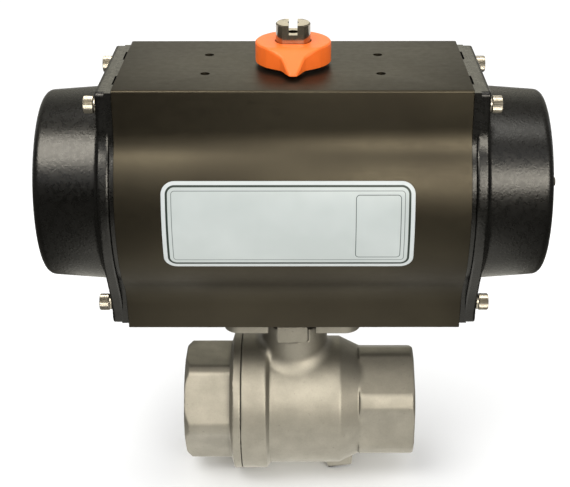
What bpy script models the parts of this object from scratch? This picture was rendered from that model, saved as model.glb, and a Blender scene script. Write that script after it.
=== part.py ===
"""Pneumatic actuated ball valve: a spring-return rack-and-pinion actuator on a two-piece ball valve.

Units: the numbers below are millimetres and degrees. Every builder function turns them into metres.
Frame: origin at the ball's centre, X along the pipe, Z up along the stem, -Y towards the nameplate.
The valve is closed: the ball's bore lies along Y and both pistons are at their inner stops.
"""
import math

import bmesh
import bpy
from mathutils import Matrix

MM = 0.001
GAP = 0.3                       # running or seating gap between neighbours

# Actuator housing, an extrusion along X
HOUSING_LENGTH = 159.4
HOUSING_TOP = 180.9
HOUSING_BOTTOM = 58.3
SLAB_HALF_DEPTH = 39.8          # flat-sided upper slab
FOOT_HALF_DEPTH = 30.5          # lower slab that sits on the valve, at its base
FOOT_TOP_HALF_DEPTH = 33.0      # and where it leaves the barrel
BARREL_RADIUS = 53.0
BARREL_Z = 122.0                # axis of the piston bore
BORE_RADIUS = 40.0
PORT_FACE_Y = 54.5              # machined face on the back with the two air ports
PORT_FACE_HALF = 21.0
TOP_HOLE_X = 40.0               # tapped accessory holes, 80 x 30 pattern
TOP_HOLE_Y = 15.0
PORT_SPACING = 24.0

# End caps
CAP_PLATE = 7.5                 # thickness of the cap's flange
CAP_INSET = 1.6                 # the flange stands back from the housing outline by this much
CAP_STEP = 3.0                  # and by this much in the shadow line beside the barrel
CAP_END_X = 118.0
CAN_RADIUS = 46.6               # spring can at its root
CAN_END_RADIUS = 44.7
CAN_BORE = 40.3
CAP_SCREWS = ((-31.0, 171.6), (31.0, 171.6), (-26.5, 70.4), (26.5, 70.4))
SCREW_HEAD = 4.0
SCREW_WASHER = 3.6              # spring washer under the head
SCREW_HEIGHT = 5.8              # head and washer
SCREW_LENGTH = 19.0             # below them
SEAL_RING_RADIUS = 48.1

# Nameplate, on the front of the barrel
LABEL_LEFT = -58.6
LABEL_RIGHT = 54.4
LABEL_UP = 20.3                 # above the bore axis
LABEL_DOWN = -21.8              # and below it
LABEL_CORNER = 6.0
LABEL_THICKNESS = 0.6

# Rack and pinion
MODULE = 1.5
TEETH = 20
PRESSURE_ANGLE = math.radians(20.0)
BACKLASH = 0.3                  # taken off each tooth's thickness
TIP_RELIEF = 0.2
RACK_TEETH = range(-6, 5)
GEAR_HALF_HEIGHT = 15.0
RACK_HALF_HEIGHT = 12.0

# Pistons, in the right piston's place
PISTON_RADIUS = 39.2
PISTON_IN_X = 28.5
PISTON_OUT_X = 42.5
POCKET_RADIUS = 33.0
POCKET_X = 33.5

# Pinion shaft
STUB_TOP = 200.7
STUB_RADIUS = 8.0
STUB_FLATS = 12.6
SLOT_WIDTH = 4.0
SLOT_DEPTH = 4.4
TOP_JOURNAL = 10.0
TOP_HOLE = 12.0
BOTTOM_JOURNAL = 17.0
BOTTOM_HOLE = 19.0
BUSH_GAP = 0.5                  # wide enough for the flats of the faceted bushes
SQUARE = 14.0                   # drive square on the stem

# Ball valve, 1 1/2 inch
BALL_RADIUS = 28.0
BORE_PORT = 19.0
CAVITY_RADIUS = 28.6
THREAD_RADIUS = 30.0
SEAT_POCKET = 27.3
SOCKET_RADIUS = 22.6            # taper thread that takes the pipe
BODY_RADIUS = 32.7
FLANGE_RADIUS = 35.6
HEX_FLATS = 54.4
HEX_CORNER_RADIUS = 29.75
LEFT_END = -55.6
RIGHT_END = 60.6
JOINT_X = -26.9                 # where tailpiece and body meet
FLANGE_LEFT = -30.8             # the flange's full radius runs from here
FLANGE_RIGHT = -14.4            # to here
NECK_RADIUS = 16.5
NECK_RIM = 48.7
PAD_BOTTOM = 52.3
PAD_TOP = 58.0
PAD_HALF_X = 33.4
PAD_HALF_Y = 26.0
PAD_SHIFT = -1.0                # the pad reaches further towards the joint
CHANNEL_HALF = 11.6
CHANNEL_SHIFT = -1.0            # the channel and the lock plate's tongue sit left of the stem
STEM_RADIUS = 9.0
STEM_HOLE = 9.4
BOX_RADIUS = 13.0               # stuffing box
BOLT_CIRCLE = 25.0              # F05 pattern, 50 pitch circle
BOLT_HEAD = 4.0                 # low cylindrical heads, sunk into the pad from below
BOLT_HEAD_TOP = 56.1


def clear_scene():
    for old in list(bpy.data.objects):
        bpy.data.objects.remove(old, do_unlink=True)


clear_scene()
PARTS = bpy.data.collections.new("pneumatic_actuated_valve")
CUTTERS = bpy.data.collections.new("cutters")
for group in (PARTS, CUTTERS):
    bpy.context.scene.collection.children.link(group)


def material(name, colour, roughness, metallic):
    made = bpy.data.materials.new(name)
    made.use_nodes = True
    shader = made.node_tree.nodes["Principled BSDF"]
    shader.inputs["Base Color"].default_value = (*colour, 1.0)
    shader.inputs["Roughness"].default_value = roughness
    shader.inputs["Metallic"].default_value = metallic
    return made


ANODISED = material("anodised_bronze", (0.060, 0.052, 0.040), 0.42, 0.6)
BLACK_CAST = material("black_coated_casting", (0.010, 0.010, 0.009), 0.38, 0.1)
STAINLESS_CAST = material("cast_stainless", (0.40, 0.36, 0.30), 0.48, 1.0)
STAINLESS = material("stainless_steel", (0.55, 0.52, 0.47), 0.30, 1.0)
NICKEL = material("nickel_plated_steel", (0.52, 0.46, 0.38), 0.25, 1.0)
ORANGE = material("orange_plastic", (0.90, 0.20, 0.045), 0.35, 0.0)
LABEL = material("nameplate_foil", (0.78, 0.80, 0.80), 0.35, 0.2)
PTFE = material("white_ptfe", (0.80, 0.79, 0.75), 0.45, 0.0)
NITRILE = material("black_nitrile", (0.012, 0.012, 0.012), 0.55, 0.0)
ACETAL = material("grey_acetal", (0.25, 0.25, 0.24), 0.45, 0.0)
ALUMINIUM = material("cast_aluminium", (0.52, 0.53, 0.54), 0.40, 1.0)
SPRING_STEEL = material("coated_spring_steel", (0.05, 0.07, 0.12), 0.40, 0.6)

UP = (0.0, 0.0, 0.0)                                # turns local Z to +Z
RIGHT = (0.0, math.pi / 2, 0.0)                     # to +X
LEFT = (0.0, -math.pi / 2, 0.0)                     # to -X
BACK = (-math.pi / 2, 0.0, 0.0)                     # to +Y
FRONT = (math.pi / 2, 0.0, 0.0)                     # to -Y, with local Y up
ALONG_X = (math.pi / 2, 0.0, math.pi / 2)           # outline (y, z) extruded along X
HALF_TURN = (0.0, 0.0, math.pi)


def place(name, mesh, finish, spot, turn):
    """Links one object into the parts, or into the cutters when it has no finish."""
    shape = bpy.data.objects.new(name, mesh)
    shape.location = [value * MM for value in spot]
    shape.rotation_euler = turn
    if finish is None:
        CUTTERS.objects.link(shape)
        shape.hide_render = True
        shape.display_type = "WIRE"
    else:
        PARTS.objects.link(shape)
        mesh.materials.append(finish)
        mesh.shade_smooth()
        mesh.set_sharp_from_angle(angle=math.radians(30.0))
    return shape


def turned(name, profile, finish=None, spot=(0, 0, 0), turn=UP, steps=32):
    """Turns (radius, height) points about local Z; the outer side runs from the top down.

    A profile that starts and ends on the axis is solid, and any other is closed into a ring.
    """
    mesh = bpy.data.meshes.new(name)
    points = [(radius * MM, 0.0, height * MM) for radius, height in profile]
    links = [(i, i + 1) for i in range(len(points) - 1)]
    if profile[0][0] > 0:
        links.append((len(points) - 1, 0))
    mesh.from_pydata(points, links, [])
    shape = place(name, mesh, finish, spot, turn)
    screw = shape.modifiers.new("turn", "SCREW")
    screw.axis = "Z"
    screw.steps = steps
    screw.render_steps = steps
    screw.use_merge_vertices = True
    screw.merge_threshold = 0.000001
    screw.use_smooth_shade = True
    return shape


def ring(inner, outer, low, high):
    return [(outer, high), (outer, low), (inner, low), (inner, high)]


def rod(radius, low, high, chamfer=0.0):
    if not chamfer:
        return [(0, high), (radius, high), (radius, low), (0, low)]
    return [(0, high), (radius - chamfer, high), (radius, high - chamfer),
            (radius, low + chamfer), (radius - chamfer, low), (0, low)]


def extruded(name, outline, low, high, finish=None, spot=(0, 0, 0), turn=UP):
    """Extrudes a closed 2D outline from low to high along local Z, as a welded mesh."""
    sketch = bpy.data.curves.new(name, "CURVE")
    sketch.dimensions = "2D"
    sketch.fill_mode = "BOTH"
    sketch.extrude = (high - low) / 2 * MM
    line = sketch.splines.new("POLY")
    line.points.add(len(outline) - 1)
    for point, (across, up) in zip(line.points, outline):
        point.co = (across * MM, up * MM, 0.0, 1.0)
    line.use_cyclic_u = True
    sketched = bpy.data.objects.new(name, sketch)
    bpy.context.scene.collection.objects.link(sketched)
    bpy.context.view_layer.update()
    evaluated = sketched.evaluated_get(bpy.context.evaluated_depsgraph_get())
    mesh = bpy.data.meshes.new_from_object(evaluated)
    bpy.data.objects.remove(sketched, do_unlink=True)
    shape = bmesh.new()
    shape.from_mesh(mesh)
    bmesh.ops.remove_doubles(shape, verts=shape.verts, dist=0.00001)
    bmesh.ops.translate(shape, verts=shape.verts, vec=(0, 0, (high + low) / 2 * MM))
    bmesh.ops.recalc_face_normals(shape, faces=shape.faces)
    shape.to_mesh(mesh)
    shape.free()
    mesh.name = name
    mesh.materials.clear()
    return place(name, mesh, finish, spot, turn)


def prisms(name, centres, radius, low, high, sides=12, finish=None, spot=(0, 0, 0), turn=UP, spin=0.0):
    """One or more equal, separate prisms or cylinders along local Z, as one object."""
    shape = bmesh.new()
    for across, up in centres:
        middle = Matrix.Translation((across * MM, up * MM, (low + high) / 2 * MM))
        bmesh.ops.create_cone(shape, cap_ends=True, segments=sides, radius1=radius * MM,
                              radius2=radius * MM, depth=(high - low) * MM,
                              matrix=middle @ Matrix.Rotation(spin, 4, "Z"))
    mesh = bpy.data.meshes.new(name)
    shape.to_mesh(mesh)
    shape.free()
    return place(name, mesh, finish, spot, turn)


def box(name, low, high, finish=None, turn=UP, spot=(0, 0, 0)):
    size = [(top - bottom) * MM for bottom, top in zip(low, high)]
    middle = [(top + bottom) / 2 * MM for bottom, top in zip(low, high)]
    shape = bmesh.new()
    bmesh.ops.create_cube(shape, size=1.0, matrix=Matrix.Translation(middle) @ Matrix.Diagonal((*size, 1.0)))
    mesh = bpy.data.meshes.new(name)
    shape.to_mesh(mesh)
    shape.free()
    return place(name, mesh, finish, spot, turn)


def combine(shape, operation, *tools):
    for tool in tools:
        step = shape.modifiers.new(tool.name, "BOOLEAN")
        step.operation = operation
        step.solver = "EXACT"
        step.object = tool


def cut(shape, *tools):
    combine(shape, "DIFFERENCE", *tools)


def join(shape, *tools):
    combine(shape, "UNION", *tools)


def keep(shape, *tools):
    combine(shape, "INTERSECT", *tools)


def arc(centre, radius, start, end, count):
    """Points on an arc from start to end degrees, both ends included."""
    points = []
    for i in range(count):
        angle = math.radians(start + (end - start) * i / (count - 1))
        points.append((centre[0] + radius * math.cos(angle), centre[1] + radius * math.sin(angle)))
    return points


def hexagon_radius(flats):
    return flats / math.sqrt(3.0)


# ---------------------------------------------------------------- housing and caps

def housing_outline(inset, barrel_inset, port_face, count):
    """Cross-section (y, z) of the extrusion, stood back by the insets."""
    slab = SLAB_HALF_DEPTH - inset
    foot = FOOT_HALF_DEPTH - inset
    foot_top = FOOT_TOP_HALF_DEPTH - inset
    top = HOUSING_TOP - inset
    bottom = HOUSING_BOTTOM + inset
    radius = BARREL_RADIUS - barrel_inset
    chamfer = 1.2
    upper = math.degrees(math.acos(slab / radius))
    lower = -math.degrees(math.acos(foot_top / radius))
    centre = (0.0, BARREL_Z)
    right = arc(centre, radius, lower, upper, count)
    if port_face:
        edge = math.degrees(math.asin(PORT_FACE_HALF / radius))
        face = [(PORT_FACE_Y, BARREL_Z - PORT_FACE_HALF), (PORT_FACE_Y, BARREL_Z + PORT_FACE_HALF)]
        right = arc(centre, radius, lower, -edge, 5) + face + arc(centre, radius, edge, upper, 4)
    left = arc(centre, radius, 180.0 - upper, 180.0 - lower, count)
    return ([(foot, bottom)] + right
            + [(slab, top - chamfer), (slab - chamfer, top), (chamfer - slab, top), (-slab, top - chamfer)]
            + left + [(-foot, bottom)])


def build_housing():
    half = HOUSING_LENGTH / 2
    outline = housing_outline(0.0, 0.0, True, 12)
    housing = extruded("housing", outline, -half, half, ANODISED, turn=ALONG_X)
    bore = prisms("housing_bore", [(0, 0)], BORE_RADIUS, -half - 1, half + 1, 36,
                  spot=(0, 0, BARREL_Z), turn=RIGHT)
    top_hole = prisms("pinion_hole_top", [(0, 0)], TOP_HOLE, BARREL_Z, HOUSING_TOP + 1, 20)
    bottom_hole = prisms("pinion_hole_bottom", [(0, 0)], BOTTOM_HOLE, HOUSING_BOTTOM - 1, BARREL_Z, 24)
    accessory = [(x, y) for x in (-TOP_HOLE_X, TOP_HOLE_X) for y in (-TOP_HOLE_Y, TOP_HOLE_Y)]
    taps = prisms("accessory_taps", accessory, 2.5, HOUSING_TOP - 8, HOUSING_TOP + 1, 10)
    corner = BOLT_CIRCLE / math.sqrt(2.0)
    mounting = [(x, y) for x in (-corner, corner) for y in (-corner, corner)]
    mount_taps = prisms("mounting_taps", mounting, 3.2, HOUSING_BOTTOM - 1, HOUSING_BOTTOM + 13, 8)
    cut(housing, bore, top_hole, bottom_hole, taps, mount_taps)
    for label, low, high in (("left", -half - 1, -half + 16), ("right", half - 16, half + 1)):
        cut(housing, prisms(f"cap_taps_{label}", CAP_SCREWS, 2.8, low, high, 8, turn=ALONG_X))
    ports = [(-PORT_SPACING / 2, 0), (PORT_SPACING / 2, 0)]
    port_turn = {"spot": (0, 0, BARREL_Z), "turn": BACK}
    cut(housing, prisms("air_ports", ports, 5.9, PORT_FACE_Y - 9, PORT_FACE_Y + 1, 14, **port_turn))
    cut(housing, prisms("chamber_port", ports[:1], 2.5, BORE_RADIUS - 5, PORT_FACE_Y - 8, 8, **port_turn))
    screw_taps = [(x, z) for x in (-16, 16) for z in (-12, 12)]
    cut(housing, prisms("port_taps", screw_taps, 2.5, PORT_FACE_Y - 8, PORT_FACE_Y + 1, 8, **port_turn))
    gallery = (0, 36, BARREL_Z + 27)
    cut(housing, prisms("air_gallery", [(0, 0)], 2.0, -half - 1, half + 1, 8, spot=gallery, turn=RIGHT))
    slant = math.atan2(27.0, 10.5)
    start = (PORT_SPACING / 2, 36, BARREL_Z + 27)
    turn = (-(math.pi / 2 + slant), 0.0, 0.0)
    cut(housing, prisms("gallery_drill", [(0, 0)], 1.9, -1.0, 28.0, 8, spot=start, turn=turn))
    return housing


def build_end_cap(side, label):
    """One end cap: flange, tapered spring can, four screw holes and the air slot to the can."""
    face = HOUSING_LENGTH / 2 + GAP
    flange_out = HOUSING_LENGTH / 2 + CAP_PLATE
    low, high = sorted((side * (face + 1.9), side * flange_out))
    name = f"end_cap_{label}"
    cap = extruded(name, housing_outline(CAP_INSET, CAP_INSET, False, 9), low, high, BLACK_CAST,
                   turn=ALONG_X)
    low, high = sorted((side * face, side * (face + 3.5)))
    step = extruded(f"{name}_step", housing_outline(CAP_INSET + 0.1, CAP_STEP, False, 7), low, high,
                    turn=ALONG_X)
    can_profile = [(0, CAP_END_X), (42.4, CAP_END_X), (CAN_END_RADIUS, CAP_END_X - 3.4),
                   (CAN_RADIUS, flange_out + 3.0), (CAN_RADIUS + 2.4, flange_out - 0.3),
                   (CAN_RADIUS + 2.4, face + 3.0), (0, face + 3.0)]
    turn = RIGHT if side > 0 else LEFT
    at_axis = {"spot": (0, 0, BARREL_Z), "turn": turn}
    join(cap, step, turned(f"{name}_can", can_profile, steps=28, **at_axis))
    inside = [(0, 112.0), (35.0, 112.0), (CAN_BORE, 106.0), (CAN_BORE, face - 1), (0, face - 1)]
    cut(cap, turned(f"{name}_inside", inside, steps=20, **at_axis))
    groove = ring(SEAL_RING_RADIUS - 1.2, SEAL_RING_RADIUS + 1.2, face - 1, face + 1.7)
    cut(cap, turned(f"{name}_groove", groove, steps=24, **at_axis))
    low, high = sorted((side * (face - 1), side * (flange_out + 1)))
    cut(cap, prisms(f"{name}_screw_holes", CAP_SCREWS, 2.8, low, high, 8, turn=ALONG_X))
    seats = [(y, z) for y, z in CAP_SCREWS if z > BARREL_Z]
    low, high = sorted((side * flange_out, side * (flange_out + 10)))
    cut(cap, prisms(f"{name}_screw_seats", seats, 5.6, low, high, 12, turn=ALONG_X))
    for end in (-1, 1):
        near, far = sorted((side * (face - 1), side * (face + 1.0)))
        slit = ((near, end * 19.5 - 6, HOUSING_TOP - 4), (far, end * 19.5 + 6, HOUSING_TOP + 1))
        cut(cap, box(f"{name}_slit_{end}", *slit))
    near, far = sorted((side * (face - 1), side * (face + 3.0)))
    slot = box(f"{name}_air_slot", (near, 38.0, -2.2), (far, 46.9, 2.2),
               spot=(0, 0, BARREL_Z), turn=(math.atan2(27.0, 36.0), 0, 0))
    cut(cap, slot)
    if side > 0:
        boss = turned(f"{name}_stop_boss", rod(7.0, 105.0, 113.0), steps=16, **at_axis)
        join(cap, boss)
        cut(cap, prisms(f"{name}_stop_hole", [(0, 0)], 2.75, 100, 120, 12, **at_axis))
    return cap


def build_cap_fasteners():
    flange_out = HOUSING_LENGTH / 2 + CAP_PLATE
    head_low = flange_out + GAP
    head_high = head_low + SCREW_HEIGHT
    profile = [(0, head_high), (SCREW_HEAD, head_high), (SCREW_HEAD, head_low + 1.3),
               (SCREW_WASHER, head_low + 1.3), (SCREW_WASHER, head_low), (2.5, head_low),
               (2.5, head_low - SCREW_LENGTH), (0, head_low - SCREW_LENGTH)]
    for side, label in ((-1, "left"), (1, "right")):
        for index, (y, z) in enumerate(CAP_SCREWS, start=1):
            name = f"cap_screw_{label}_{index}"
            fit = {"spot": (0, y, z), "turn": RIGHT if side > 0 else LEFT}
            screw = turned(name, profile, STAINLESS, steps=10, **fit)
            cut(screw, prisms(f"{name}_socket", [(0, 0)], 2.3, head_low + 3.0, head_low + 7.0, 6, **fit))
        seal = ring(SEAL_RING_RADIUS - 0.85, SEAL_RING_RADIUS + 0.85, HOUSING_LENGTH / 2 + 0.15,
                    HOUSING_LENGTH / 2 + 1.7)
        turned(f"cap_seal_{label}", seal, NITRILE, (0, 0, BARREL_Z), RIGHT if side > 0 else LEFT, 24)
    screw_axis = {"spot": (0, 0, BARREL_Z), "turn": RIGHT, "steps": 12}
    turned("travel_stop_screw", rod(2.4, 66.7, 126.2, 0.5), STAINLESS, **screw_axis)
    nut = prisms("travel_stop_nut", [(0, 0)], hexagon_radius(8.0), CAP_END_X + GAP, CAP_END_X + 4.3, 6,
                 STAINLESS, (0, 0, BARREL_Z), RIGHT)
    cut(nut, prisms("stop_nut_hole", [(0, 0)], 2.7, CAP_END_X - 1, CAP_END_X + 6, 12,
                    spot=(0, 0, BARREL_Z), turn=RIGHT))


def build_nameplate():
    """A thin curved plate with round corners on the front of the barrel."""
    inner = BARREL_RADIUS + 0.25
    outer = inner + LABEL_THICKNESS
    centre = (0.0, BARREL_Z)
    upper, lower = 157.0, 204.0
    band = arc(centre, outer, upper, lower, 13) + arc(centre, inner, lower, upper, 13)
    plate = extruded("nameplate", band, LABEL_LEFT, LABEL_RIGHT, LABEL, turn=ALONG_X)
    left, right = LABEL_LEFT + LABEL_CORNER, LABEL_RIGHT - LABEL_CORNER
    low, high = BARREL_Z + LABEL_DOWN + LABEL_CORNER, BARREL_Z + LABEL_UP - LABEL_CORNER
    corners = []
    for x, z, start in ((right, high, 0), (left, high, 90), (left, low, 180), (right, low, 270)):
        corners += arc((x, z), LABEL_CORNER, start, start + 90, 5)
    keep(plate, extruded("nameplate_corners", corners, 20.0, 80.0, turn=FRONT))


# ---------------------------------------------------------------- rack and pinion

def gear_outline():
    """Involute teeth, thinned by the backlash; a tooth is centred on +Y and on -Y."""
    pitch = MODULE * TEETH / 2
    base = pitch * math.cos(PRESSURE_ANGLE)
    tip = pitch + MODULE - TIP_RELIEF
    root = pitch - 1.25 * MODULE
    half_thickness = (math.pi * MODULE / 2 - BACKLASH) / (2 * pitch)

    def half_angle(radius):
        local = math.acos(min(1.0, base / radius))
        return half_thickness + math.tan(PRESSURE_ANGLE) - PRESSURE_ANGLE - math.tan(local) + local

    flank = [root, base + 0.6, tip]
    points = []
    for tooth in range(TEETH):
        middle = 2 * math.pi * tooth / TEETH
        for radius in flank:
            angle = middle - half_angle(max(radius, base))
            points.append((radius * math.cos(angle), radius * math.sin(angle)))
        for radius in reversed(flank):
            angle = middle + half_angle(max(radius, base))
            points.append((radius * math.cos(angle), radius * math.sin(angle)))
    return points


def build_pinion():
    profile = [(0, STUB_TOP), (STUB_RADIUS - 0.5, STUB_TOP), (STUB_RADIUS, STUB_TOP - 0.5),
               (STUB_RADIUS, 185.3), (TOP_JOURNAL, 185.3), (TOP_JOURNAL, 184.4), (9.1, 184.4), (9.1, 182.9),
               (TOP_JOURNAL, 182.9), (TOP_JOURNAL, 178.6), (8.9, 178.6), (8.9, 175.6), (TOP_JOURNAL, 175.6),
               (TOP_JOURNAL, 159.2), (12.0, 159.2), (12.0, 84.0), (BOTTOM_JOURNAL, 84.0),
               (BOTTOM_JOURNAL, 78.8), (15.8, 78.8), (15.8, 75.8), (BOTTOM_JOURNAL, 75.8),
               (BOTTOM_JOURNAL, 59.2), (0, 59.2)]
    pinion = turned("pinion", profile, NICKEL, steps=16)
    join(pinion, extruded("pinion_teeth", gear_outline(), BARREL_Z - GEAR_HALF_HEIGHT,
                          BARREL_Z + GEAR_HALF_HEIGHT))
    for end in (-1, 1):
        near, far = sorted((end * STUB_FLATS / 2, end * 20))
        cut(pinion, box(f"stub_flat_{end}", (-20, near, 185.6), (20, far, STUB_TOP + 1)))
    half = SLOT_WIDTH / 2
    cut(pinion, box("stub_slot", (-half, -20, STUB_TOP - SLOT_DEPTH), (half, 20, STUB_TOP + 1)),
        prisms("stub_tap", [(0, 0)], 2.6, STUB_TOP - 14, STUB_TOP + 1, 8))
    side = SQUARE / 2 + GAP
    cut(pinion, box("drive_socket", (-side, -side, 50), (side, side, 76.0)))

    turned("bushing_top", ring(TOP_JOURNAL + BUSH_GAP, TOP_HOLE - GAP, 163.5, 174.8), ACETAL, steps=16)
    turned("bushing_bottom", ring(BOTTOM_JOURNAL + BUSH_GAP, BOTTOM_HOLE - GAP, 63.0, 75.0), ACETAL,
           steps=16)
    turned("pinion_oring_top", ring(9.2, 11.7, 175.9, 178.3), NITRILE, steps=16)
    turned("pinion_oring_bottom", ring(16.1, 18.7, 76.1, 78.5), NITRILE, steps=16)
    turned("thrust_washer_top", ring(10.3, 13.6, HOUSING_TOP + GAP, 182.6), ACETAL, steps=16)
    circlip = turned("circlip", ring(9.4, 12.2, 183.15, 184.15), SPRING_STEEL, steps=16)
    cut(circlip, box("circlip_gap", (-2.5, 5, 182), (2.5, 20, 186)))


def build_indicator():
    """Round pointer cap with a nose towards -Y, hollow underneath, keyed on the stub's flats."""
    low, high = 182.8, 192.3
    nose = [(-2.2, -26.0), (0.0, -26.6), (2.2, -26.0), (3.9, -21.2), (5.3, -17.8), (7.6, -15.2)]
    outline = [(-7.6, -15.2), (-5.3, -17.8), (-3.9, -21.2)] + nose + arc((0, 0), 17.5, -57.0, 237.0, 22)
    indicator = extruded("indicator", outline, low, high, ORANGE)
    slope = [(-10.5, high + 0.05), (-30.0, high + 0.05), (-30.0, high - 10.5)]
    cut(indicator,
        extruded("nose_slope", slope, -7.0, 7.0, turn=ALONG_X),
        prisms("indicator_hollow", [(0, 0)], 14.4, low - 1, 186.2, 16))
    seat = prisms("indicator_seat", [(0, 0)], STUB_RADIUS + GAP, 185, high + 1, 16)
    flat = STUB_FLATS / 2 + GAP
    keep(seat, box("indicator_flats", (-20, -flat, 180), (20, flat, 200)))
    cut(indicator, seat)


def rack_outline():
    """Rack arm seen from above: teeth towards the pinion at -pitch, a plain back."""
    pitch = MODULE * TEETH / 2
    step = math.pi * MODULE
    tip = pitch - MODULE + TIP_RELIEF
    root = pitch + 1.25 * MODULE
    half = (step / 2 - BACKLASH) / 2
    slope = math.tan(PRESSURE_ANGLE)
    at_root = half + (root - pitch) * slope
    at_tip = half - (pitch - tip) * slope
    points = [((RACK_TEETH[0] + 0.5) * step - at_root, -33.0)]
    for index in RACK_TEETH:
        middle = (index + 0.5) * step
        points += [(middle - at_root, -root), (middle - at_tip, -tip), (middle + at_tip, -tip),
                   (middle + at_root, -root)]
    return points + [(30.0, -root), (30.0, -33.0)]


def build_piston(side, label):
    """The left piston is the right one turned half a turn about the pinion's axis."""
    turn = RIGHT if side > 0 else LEFT
    at_axis = {"spot": (0, 0, BARREL_Z), "turn": turn}
    plan_turn = UP if side > 0 else HALF_TURN
    profile = [(0, PISTON_OUT_X), (7.0, PISTON_OUT_X), (7.0, POCKET_X), (POCKET_RADIUS, POCKET_X),
               (POCKET_RADIUS, PISTON_OUT_X), (PISTON_RADIUS, PISTON_OUT_X),
               (PISTON_RADIUS, 40.7), (36.4, 40.7), (36.4, 37.4), (PISTON_RADIUS, 37.4),
               (PISTON_RADIUS, 35.0), (37.2, 35.0), (37.2, 30.2), (PISTON_RADIUS, 30.2),
               (PISTON_RADIUS, PISTON_IN_X), (0, PISTON_IN_X)]
    piston = turned(f"piston_{label}", profile, ALUMINIUM, steps=24, **at_axis)
    join(piston, extruded(f"rack_{label}", rack_outline(), BARREL_Z - RACK_HALF_HEIGHT,
                          BARREL_Z + RACK_HALF_HEIGHT, turn=plan_turn))
    turned(f"piston_oring_{label}", ring(36.7, 39.6, 37.7, 40.4), NITRILE, steps=28, **at_axis)
    turned(f"guide_band_{label}", ring(37.5, 39.6, 30.5, 34.7), PTFE, steps=28, **at_axis)
    low = (-24.0, -37.4, BARREL_Z - 9.0)
    high = (8.0, -33.3, BARREL_Z + 9.0)
    box(f"rack_guide_{label}", low, high, ACETAL, plan_turn)


def build_spring(name, side, radius, wire, turns, points_per_turn, hand):
    """A compression spring from the piston's pocket to the end of the can."""
    low = POCKET_X + GAP + wire
    high = 112.0 - GAP - wire
    coil = bpy.data.curves.new(name, "CURVE")
    coil.dimensions = "3D"
    coil.fill_mode = "FULL"
    coil.bevel_depth = wire * MM
    coil.bevel_resolution = 1
    coil.use_fill_caps = True
    line = coil.splines.new("POLY")
    count = turns * points_per_turn
    line.points.add(count)
    for i, point in enumerate(line.points):
        angle = hand * 2 * math.pi * i / points_per_turn
        along = low + (high - low) * i / count
        point.co = (radius * math.cos(angle) * MM, radius * math.sin(angle) * MM, along * MM, 1.0)
    coil.materials.append(SPRING_STEEL)
    shape = bpy.data.objects.new(name, coil)
    shape.location = (0, 0, BARREL_Z * MM)
    shape.rotation_euler = RIGHT if side > 0 else LEFT
    PARTS.objects.link(shape)


# ---------------------------------------------------------------- ball valve

def hex_end(name, low, high, spin, chamfer_low, chamfer_high):
    """A hexagon along X with its corners turned down and its ends chamfered."""
    corner = HEX_CORNER_RADIUS
    envelope = [(0, high), (corner - chamfer_high, high), (corner, high - chamfer_high),
                (corner, low + chamfer_low), (corner - chamfer_low, low), (0, low)]
    shape = turned(name, envelope, turn=RIGHT, steps=24)
    keep(shape, prisms(f"{name}_flats", [(0, 0)], hexagon_radius(HEX_FLATS), low - 1, high + 1, 6,
                       turn=RIGHT, spin=spin))
    return shape


def build_valve_body():
    joint = JOINT_X + GAP / 2
    outer = [(0, 36.0), (26.4, 36.0), (BODY_RADIUS, 22.9), (BODY_RADIUS, FLANGE_RIGHT + 1.9),
             (FLANGE_RADIUS, FLANGE_RIGHT), (FLANGE_RADIUS, joint), (0, joint)]
    body = turned("valve_body", outer, STAINLESS_CAST, turn=RIGHT, steps=28)
    neck = prisms("neck", [(0, 0)], NECK_RADIUS, 5.0, PAD_TOP, 24)
    corner = 8.0
    across, along = PAD_HALF_X - corner, PAD_HALF_Y - corner
    pad_outline = []
    quarters = ((across, along, 0), (-across, along, 90), (-across, -along, 180), (across, -along, 270))
    for x, y, start in quarters:
        pad_outline += arc((x, y), corner, start, start + 90, 4)
    pad = extruded("mounting_pad", pad_outline, PAD_BOTTOM, PAD_TOP, spot=(PAD_SHIFT, 0, 0))
    foot = [(14.5, -30.5), (17.5, -37.3), (30.0, -35.4), (30.0, -27.0), (20.0, -27.0)]
    foot_lug = extruded("foot_lug", foot, -9.0, 9.0, turn=FRONT)
    join(body, hex_end("body_hex", 33.0, RIGHT_END, 0.0, 0.5, 1.2), neck, pad, foot_lug)
    cavity = [(0, RIGHT_END + 1), (24.6, RIGHT_END + 1), (SOCKET_RADIUS, RIGHT_END - 1.5),
              (SOCKET_RADIUS, 36.0), (BORE_PORT, 36.0), (BORE_PORT, 22.8), (SEAT_POCKET, 22.8),
              (SEAT_POCKET, 13.0),
              (CAVITY_RADIUS, 13.0), (CAVITY_RADIUS, -14.0), (THREAD_RADIUS, -14.0),
              (THREAD_RADIUS, joint - 1), (0, joint - 1)]
    cut(body,
        turned("valve_cavity", cavity, turn=RIGHT, steps=24),
        box("pad_channel", (CHANNEL_SHIFT - CHANNEL_HALF, -40, NECK_RIM),
            (CHANNEL_SHIFT + CHANNEL_HALF, 40, PAD_TOP + 1)),
        prisms("rim_counterbore", [(0, 0)], 15.0, NECK_RIM, PAD_TOP + 1, 20),
        prisms("stuffing_box", [(0, 0)], BOX_RADIUS, 36.5, NECK_RIM + 2, 20),
        prisms("stem_hole", [(0, 0)], STEM_HOLE, 30.0, 37.0, 16),
        prisms("collar_pocket", [(0, 0)], 11.7, 15.0, 33.5, 16))
    bolt = BOLT_CIRCLE / math.sqrt(2.0)
    holes = [(x, y) for x in (-bolt, bolt) for y in (-bolt, bolt)]
    cut(body, prisms("pad_holes", holes, 3.3, PAD_BOTTOM - 1, PAD_TOP + 1, 8),
        prisms("pad_counterbores", holes, BOLT_HEAD + GAP, PAD_BOTTOM - 1, BOLT_HEAD_TOP + GAP, 12))


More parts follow.
